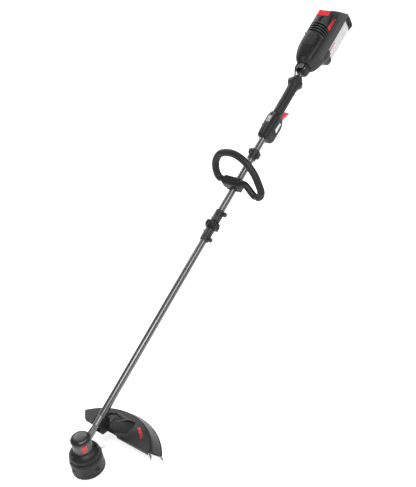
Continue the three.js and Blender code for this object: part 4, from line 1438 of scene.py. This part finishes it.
def makeSwitchHousing():
    stations, wall = switchBox["stations"], switchBox["wall"]
    solid = loft("switch_shell", stations)
    cutAway(solid, loft("inner", stations, -wall), shaftRoom(1300, 1450),
            block("trigger_slot", (1418, 1445), (-8.5, 8.5), (-60, -13.4)),
            block("panel_window", (1382.5, 1414.5), (-5.5, 13.5), (18, 60)))
    ribs = repeated(block("rib", (1351, 1352.6), (-40, 40), (-40, 40)), switchBox["grooves"],
                    step=(switchBox["groovePitch"], 0, 0))
    grooves = cutAway(ribs, loft("core", stations, -0.7),
                      block("keep_top", (1340, 1380), (-40, 40), (8, 60)),
                      block("keep_low", (1340, 1380), (-40, 40), (-60, -20)))
    for side, name in ((-1, "left"), (1, "right")):
        shell = twin(solid, f"switch_shell_{name}_moulded")
        tools = [block("other", (1300, 1460), (-0.15, 60) if side < 0 else (-60, 0.15), (-80, 80)),
                 twin(grooves, "grooves")]
        if side > 0:
            tools.append(rodAt(switchBox["button"], switchBox["buttonHole"], 0, 60, "y", 48))
            tools += [rodAt((x, 0, z), 3.6, 21.3, 60, "y", 32) for x, z in switchBox["screws"]]
        cutAway(shell, *tools)
        softenEdges(shell, 0.45)
        deliver(shell, shaftSpace, "bodyPlastic", "main", [f"switch_shell_{name}"])
    drop(solid, grooves)
    screws = screwSet("switch_screws", switchBox["screws"], 1, 21.7)
    deliver(screws, shaftSpace, "zincSteel", "main", ())
    x0, z0, length, height = switchBox["mark"]
    bars = [[(x + x0, z + z0) for x, z in outline] for outline in stripes(length, height, 0.45)]
    mark = printedOn("switch_mark", bars, -60, 0,
                     loft("skin", stations, 0.22), loft("core", stations, -0.3))
    deliver(mark, shaftSpace, "whiteInk", "main", ())


def makeModePanel():
    at = span("mode_panel")
    button = span("mode_button")
    middle = ((button.x0 + button.x1) / 2, (button.y0 + button.y1) / 2)
    outline = [(at.x0, at.y0), (at.x1, at.y0), (at.x1, at.y1), (at.x0, at.y1)]
    panel = slab("mode_panel_face", rounded(outline, 2.4, 5, closed=True), at.z0, at.z1, "z")
    cutters = [rodAt((*middle, 0), 5.6, 10, 40, "z", 48)]
    for lamp in range(3):
        cutters.append(block("lamp", (at.x0 + 4.4, at.x0 + 8.6), (at.y0 + 3.6 + lamp * 4.2,
                             at.y0 + 6 + lamp * 4.2), (at.z1 - 0.5, 60)))
    cutAway(panel, *cutters)
    softenEdges(panel, 0.5, 3)
    deliver(panel, shaftSpace, "silverGloss", "main", ["mode_panel"])
    lamps = gather(*[block("mode_lamps", (at.x0 + 4.7, at.x0 + 8.3), (at.y0 + 3.9 + lamp * 4.2,
                           at.y0 + 5.7 + lamp * 4.2), (at.z1 - 1.2, at.z1 - 0.3)) for lamp in range(3)])
    softenEdges(lamps, 0.2)
    deliver(lamps, shaftSpace, "whiteGloss", "main", ())
    top = button.z1
    profile = rounded([(0, button.z0), (5.2, button.z0), (5.2, top - 0.9), (4.3, top), (3.6, top),
                       (3.1, top - 0.6), (0, top - 0.9)], 0.5)
    cap = moved(turnedPiece("mode_button_cap", profile, 64), (*middle, 0))
    deliver(cap, shaftSpace, "whiteGloss", "mode_button", ["mode_button"])


triggerShape = {
    "pin": (1428, 0, -22), "pinHole": 2.3, "halfWidth": 8,
    "outline": [(1422, -17), (1421, -27), (1428, -34), (1442, -41), (1460, -48), (1482, -56),
                (1491, -56.5), (1485, -44), (1470, -34.5), (1452, -28.5), (1438, -23.2), (1433, -17),
                (1429, -15.5)],
}


def makeTrigger():
    at = span("lockoff_button")
    rows = [(0, at.y0), (6.8, at.y0), (6.8, at.y1 - 1.2), (5.8, at.y1)]
    rows += [(5.2, at.y1), (4.8, at.y1 - 0.5), (3.9, at.y1 - 0.5), (3.5, at.y1), (2.6, at.y1),
             (2.2, at.y1 - 0.5), (0, at.y1 - 0.5)]
    lock = turnedPiece("lockoff_button_cap", rounded(rows, 0.4, 3), 64, "y")
    moved(lock, switchBox["button"])
    deliver(lock, shaftSpace, "redGloss", "lockoff_button", ["lockoff_button"])
    half = triggerShape["halfWidth"]
    trigger = slab("trigger_moulded", rounded(triggerShape["outline"], 6, 5, closed=True), -half, half)
    cutAway(trigger, rodAt(triggerShape["pin"], triggerShape["pinHole"], -20, 20, "y", 32))
    softenEdges(trigger, 1.2, 3, 40)
    deliver(trigger, shaftSpace, "redGloss", "trigger", ["trigger"])


# Rear grip, neck and conduit

rearGrip = {
    "profile": [(shaftBore, 1437), (19, 1437), (20.5, 1441), (20.5, 1500), (21, 1560), (22, 1574),
                (25, 1581), (31.5, 1588), (33, 1594), (32, 1603), (24.5, 1609), (21, 1613), (20, 1622),
                (shaftBore, 1622), (shaftBore, 1437)],
    "facets": 8, "flangeFrom": 1579, "flangeTo": 1614,
    "ringsFrom": 1446, "ringsTo": 1560, "ringPitch": 6.0, "ringDepth": 0.35,
}


def makeRearGrip():
    rows = rounded(rearGrip["profile"], 2, 4, closed=True)
    profile = []
    for first, second in zip(rows, rows[1:] + rows[:1]):
        parts = max(1, int((second - first).length / 1.2))
        profile += [tuple(first.lerp(second, part / parts)) for part in range(parts)]
    profile.append(profile[0])
    low, high = rearGrip["flangeFrom"], rearGrip["flangeTo"]
    first, last = rearGrip["ringsFrom"], rearGrip["ringsTo"]

    def shaped(radius, height, angle):
        if radius < 14:
            return radius, height
        if low < height < high:
            share = min(1.0, (height - low) / 9, (high - height) / 6)
            flat = math.pi / rearGrip["facets"]
            local = (angle % (2 * flat)) - flat
            return radius * (1 - share * (1 - math.cos(flat) / math.cos(local))), height
        under = max(0.0, -math.sin(angle))
        if first < height < last:
            ring = 0.5 + 0.5 * math.cos((height - first) * 2 * math.pi / rearGrip["ringPitch"])
            radius -= rearGrip["ringDepth"] * ring * (0.35 + 0.65 * under)
        return radius, height
    grip = turnedPiece("rear_grip_sleeve", profile, 120, "x", shaped)
    deliver(grip, shaftSpace, "gripRubber", "main", ["rear_grip"], 60)


neck = {
    "stations": [(1643, 17, 17, -17), (1652, 22, 23, -22), (1672, 24, 25, -25), (1678, 24, 25, -25)],
    "plate": [(1655.5, -11), (1677.5, -11), (1677.5, 11), (1655.5, 11)],
    "screw": (1660, 0, 18), "conduitRadius": 2.9, "conduitRings": 22, "ringDepth": 0.3,
    "conduit": [(1623.2, 10.6, 12.6), (1627, 11.4, 14.2), (1634, 13.6, 18.6), (1642, 15.6, 22.6),
                (1650, 16.6, 28.5), (1660, 16.6, 29.8), (1672, 16, 29.6), (1679, 15, 29)],
}


def makeNeck():
    stations = neck["stations"]
    core = loft("neck_clamp_body", stations, 0, 4, 80)
    cutAway(core, shaftRoom(1600, 1750), rodAt(neck["screw"], 3.6, -50, 50, "y", 32),
            block("slot", (1630, 1655), (-9, 9), (4, 60)), rodAt(neck["screw"], 5.4, 21.4, 60, "y", 6))
    softenEdges(core, 0.8, 3)
    deliver(core, shaftSpace, "deepPlastic", "main", ["neck_clamp"], 45)
    plate = slab("neck_plate", rounded(neck["plate"], 2.5, closed=True), 15, 40, "z")
    keepWithin(plate, loft("skin", stations, 1.3, 4, 80))
    cutAway(plate, loft("core", stations, 0.05, 4, 80),
            tubeAlong("conduit_room", through(neck["conduit"], 6), 4.2, 24, Vector((0, 1, 0))))
    softenEdges(plate, 0.4)
    deliver(plate, shaftSpace, "castAlloy", "main", ())
    screw = screwPiece("neck_screw_hex", 4.2, 3.0, 2.9, 38.6, "hex")
    screw.data.transform(Matrix.Rotation(math.radians(90), 4, "X"))
    moved(screw, (neck["screw"][0], 21.45, neck["screw"][2]))
    deliver(screw, shaftSpace, "zincSteel", "main", ["neck_screw"])
    def ringed(t):
        return neck["conduitRadius"] + neck["ringDepth"] * math.cos(t * 2 * math.pi * neck["conduitRings"])
    path = through(neck["conduit"], 22)
    conduit = tubeAlong("cable_conduit_ringed", path, ringed, 24, Vector((0, 1, 0)))
    deliver(conduit, shaftSpace, "deepPlastic", "main", ["cable_conduit"], 60)


# Rear housing

rear = {
    "stations": [(1680, 30, 36, -30), (1694, 38, 45, -36), (1716, 44.5, 52, -42), (1742, 49, 57, -50),
                 (1766, 50, 59, -60), (1794, 50, 59, -60), (1880, 50, 59, -60), (2010, 50, 59, -60)],
    "coverSide": [(1696, 17), (1716, 22), (1745, 28), (1778, 32)], "coverEnd": 29, "coverProud": 1.7,
    "windowEnd": 1744,
    "rearLine": [(1917, 70), (1979, -15.4), (1979, -140), (2100, -140), (2100, 70)],
    "bayFrom": 1794, "bayTop": -15, "wall": 3.0,
    "vents": 4, "ventPitch": -12.2, "ventWidth": 6.4, "ventDepth": 3.6,
    "ventPath": [(1849, 42), (1854, 31), (1856, 20), (1854, 0), (1848, -22), (1839, -40), (1832, -52)],
    "frontScrews": [(1722, 22), (1722, -22)], "rearScrews": [(1812, 44), (1880, 30), (1925, 2)],
    "mark": (1835, 42, 62, 9.5),
}


def housingSkin(name, grow=0.0):
    return loft(name, rear["stations"], grow, 4.5, 128)


def coverPlan(name, grow, low=25, high=75):
    side = [(x, y + grow) for x, y in rear["coverSide"]]
    side[0] = (side[0][0] - grow, side[0][1])
    endX, endY = side[-1]
    arc = [(endX + (rear["coverEnd"] + grow) * math.sin(a), -endY * math.cos(a))
           for a in (math.pi * step / 32 for step in range(1, 32))]
    outline = [(x, -y) for x, y in side] + arc + [(x, y) for x, y in reversed(side)]
    return slab(name, outline, low, high, "z")


def ventBand(name, shift):
    # a band across the top that follows the vent's line in plan
    line = [Vector((x, y, 0)) for x, y in through(rear["ventPath"], 6)]
    half = rear["ventWidth"] / 2
    outline = [(p.x + shift - half, p.y) for p in line] + [(p.x + shift + half, p.y) for p in reversed(line)]
    return slab(name, outline, 41.5, 75, "z")


def makeRearHousing():
    solid = housingSkin("housing")
    foot = skinned("foot", [softBoxRing(x, w, top, bottom, 64, 5) for x, w, top, bottom in through(
        [(1752, 36, -40, -58), (1768, 38, -40, -88), (1793.6, 39, -40, -94)], 6)])
    inner = housingSkin("inner", -rear["wall"])
    reach = (rear["bayFrom"] - 3, 2100)
    cutAway(inner, block("bay", reach, (-80, 80), (-140, rear["bayTop"] + 3)),
            slab("line", [(x - 3, z) for x, z in rear["rearLine"]], -80, 80),
            block("foot_floor", (1700, 1800), (-80, 80), (-140, -52)))
    cutAway(solid, block("bay", (rear["bayFrom"], 2100), (-80, 80), (-140, rear["bayTop"])),
            slab("line", rear["rearLine"], -80, 80))
    fuse(solid, foot)
    vents = [ventBand("vent", rear["ventPitch"] * number) for number in range(rear["vents"])]
    vents = cutAway(gather(vents[0], *vents[1:]), housingSkin("core", -rear["ventDepth"]))
    recess = block("recess", (1866, 1895), (-30, 12), (58.2, 70))
    sideGroove = cutAway(slab("groove", rounded([(1728, 8), (1800, 8), (1812, 2), (1948, 2), (1948, 0.4),
                                                 (1811, 0.4), (1799, 6.4), (1728, 6.4)], 1.2, closed=True),
                              -80, 80), housingSkin("core", -0.9))
    intakes = repeated(slab("intake", rounded([(1748, -12), (1751.4, -12), (1746.4, -38), (1743, -38)], 1.2,
                                              closed=True), -80, 80), 6, step=(7.2, 0, 0))
    cutAway(intakes, housingSkin("core", -2.2))
    cutAway(solid, inner, shaftRoom(1600, 1712),
            block("latch_well", (1896, 1945), (-18.4, 34.4), (46, 70)),
            coverPlan("cover_seat", 0.5), vents, recess, sideGroove, intakes)
    for side, name in ((-1, "left"), (1, "right")):
        shell = twin(solid, f"housing_{name}_moulded")
        tools = [block("other", (1600, 2100), (-0.15, 90) if side < 0 else (-90, 0.15), (-150, 90))]
        if side > 0:
            for face, places in ((45, rear["rearScrews"]), (40, rear["frontScrews"])):
                tools += [rodAt((x, 0, z), 4.2, face, 80, "y", 32) for x, z in places]
        cutAway(shell, *tools)
        softenEdges(shell, 0.55)
        deliver(shell, shaftSpace, "bodyPlastic", "main", [f"housing_{name}"])
    drop(solid)
    screws = gather(screwSet("housing_screws", rear["rearScrews"], 1, 45.2, 3.4),
                    screwSet("housing_screws", rear["frontScrews"], 1, 40.2, 3.4))
    deliver(screws, shaftSpace, "zincSteel", "main", ())
    cover = keepWithin(coverPlan("top_cover_moulded", 0), housingSkin("skin", rear["coverProud"]))
    cutAway(cover, housingSkin("core", -rear["wall"]))
    window = twin(cover, "cover_window")
    split = rear["windowEnd"]
    cutAway(cover, block("front", (1600, split + 0.4), (-80, 80), (0, 90)))
    cutAway(window, block("back", (split, 1900), (-80, 80), (0, 90)))
    keepWithin(window, housingSkin("skin", rear["coverProud"] - 0.8))
    softenEdges(cover, 1.1, 3, 40)
    softenEdges(window, 0.6, 2, 40)
    deliver(cover, shaftSpace, "bodyPlastic", "main", ["top_cover"], 45)
    deliver(window, shaftSpace, "deepPlastic", "main", (), 45)
    lip = cutAway(coverPlan("cover_lip", 4.2), coverPlan("lip_hole", 1.5),
                  block("front", (1600, split + 6), (-80, 80), (0, 90)))
    keepWithin(lip, housingSkin("skin", 1.2))
    cutAway(lip, housingSkin("core", -0.5))
    softenEdges(lip, 0.8, 3, 40)
    deliver(lip, shaftSpace, "bodyPlastic", "main", (), 45)
    x0, z0, length, height = rear["mark"]
    bars = [[(x + x0, z + z0) for x, z in outline] for outline in stripes(length, height, 0.5)]
    mark = printedOn("housing_mark", bars, -80, 0, housingSkin("skin", 0.2), housingSkin("core", -0.3))
    deliver(mark, shaftSpace, "redInk", "main", ())


latchShape = {
    "outline": [(1897, 47), (1897, 59.5), (1915, 62), (1922, 59), (1920, 47)], "sides": (-18, 34),
    "ridges": 4, "ridgeStep": (4.2, 0, 0.55),
}


def makeLatch():
    outline = rounded(latchShape["outline"], 2.2, 5, closed=True)
    latch = slab("battery_latch_moulded", outline, *latchShape["sides"])
    ridge = block("ridge", (1900.5, 1902), (-13, 29), (59.2, 66))
    ridges = repeated(ridge, latchShape["ridges"], step=latchShape["ridgeStep"])
    cutAway(latch, ridges)
    softenEdges(latch, 0.6, 3)
    deliver(latch, shaftSpace, "redGloss", "battery_latch", ["battery_latch"])


# Battery pack

pack = {"low": 1797, "cap": 1957, "high": 1990, "width": 40, "top": -17, "bottom": -88,
        "panels": 3, "panelPitch": 36, "grips": 4, "gripPitch": 5.4, "mark": (1806, -42, 46, 6)}


def makeBattery():
    low, cap, width, top, bottom = (pack[key] for key in ("low", "cap", "width", "top", "bottom"))
    case = skinned("battery_case_moulded", [softBoxRing(x, w, t, b, 128, 7) for x, w, t, b in (
        (low, 37, -19, -86), (low + 1.2, 38.6, -17.8, -87.2), (low + 4, width, top, bottom),
        (cap, width, top, bottom))])
    rail = block("rail", (low - 5, cap - 20), (-60, 60), (-31, -27.5))
    cutAway(rail, block("keep", (low - 10, cap), (-(width - 2.2), width - 2.2), (-100, 0)))
    seam = cutAway(block("seam", (low + 30, low + 30.8), (-60, 60), (-100, 0)), skinned("core", [
        softBoxRing(x, width - 0.6, top - 0.6, bottom + 0.6, 96, 7) for x in (low - 5, cap + 5)]))
    outline = [(low + 44, -50), (low + 76, -50), (low + 72, -80), (low + 40, -80)]
    panels = repeated(slab("panel", rounded(outline, 4, closed=True), -60, 60), pack["panels"],
                      step=(pack["panelPitch"], 0, 0))
    cutAway(panels, block("keep", (low - 10, cap + 5), (-(width - 0.9), width - 0.9), (-100, 0)))
    cutAway(case, block("socket", (1790, 1817), (-21, 21), (-33, 0)), rail, seam, panels)
    softenEdges(case, 0.5)
    deliver(case, shaftSpace, "whiteGloss", "battery", ["battery_case"])
    end = skinned("battery_cap_moulded", [softBoxRing(x, w, t, b, 128, 7) for x, w, t, b in through([
        (cap + 0.3, width + 1.5, -16, bottom - 1.5), (1972, width + 1.5, -16, bottom - 5),
        (1981, width + 1.5, -19, bottom - 7), (pack["high"], width - 1, -34, bottom - 6)], 5)])
    grips = repeated(block("grip", (1962, 1964.6), (-60, 60), (-80, -30)), pack["grips"],
                     step=(pack["gripPitch"], 0, 0))
    cutAway(grips, block("keep", (1950, 2000), (-(width + 0.2), width + 0.2), (-120, 0)))
    cutAway(end, grips)
    softenEdges(end, 0.9, 3, 36)
    deliver(end, shaftSpace, "deepPlastic", "battery", ["battery_cap"])
    x0, z0, length, height = pack["mark"]
    bars = [[(x + x0, z + z0) for x, z in outline] for outline in stripes(length, height, 0.4)]
    skin = skinned("skin", [softBoxRing(x, width + 0.25, top, bottom, 128, 7) for x in (low, cap)])
    core = skinned("core", [softBoxRing(x, width - 0.3, top, bottom, 128, 7) for x in (low - 2, cap + 2)])
    mark = printedOn("battery_mark", bars, -60, 0, skin, core)
    deliver(mark, shaftSpace, "redInk", "battery", ())


# CAD nodes that stay as they are

keptNodes = {
    "trigger_pin": "zincSteel", "microswitch": "deepPlastic", "controller_board": "boardGreen",
    "terminal_block": "deepPlastic", "output_shaft": "zincSteel", "rotor": "blackSteel",
    "stator": "blackSteel", "bearing_lower": "zincSteel", "bearing_upper": "zincSteel",
}


def refinish(node, material):
    part = frame["nodes"][node]
    if not part.material_slots:
        part.data.materials.append(finishes[material])
    for slot in part.material_slots:
        slot.material = finishes[material]


print("switch, grip, housing, battery")
makeSwitchHousing()
makeModePanel()
makeTrigger()
makeRearGrip()
makeNeck()
makeRearHousing()
makeLatch()
makeBattery()
for node, material in keptNodes.items():
    refinish(node, material)

makeStudio()
print("pieces made:", len(deliveredNames))
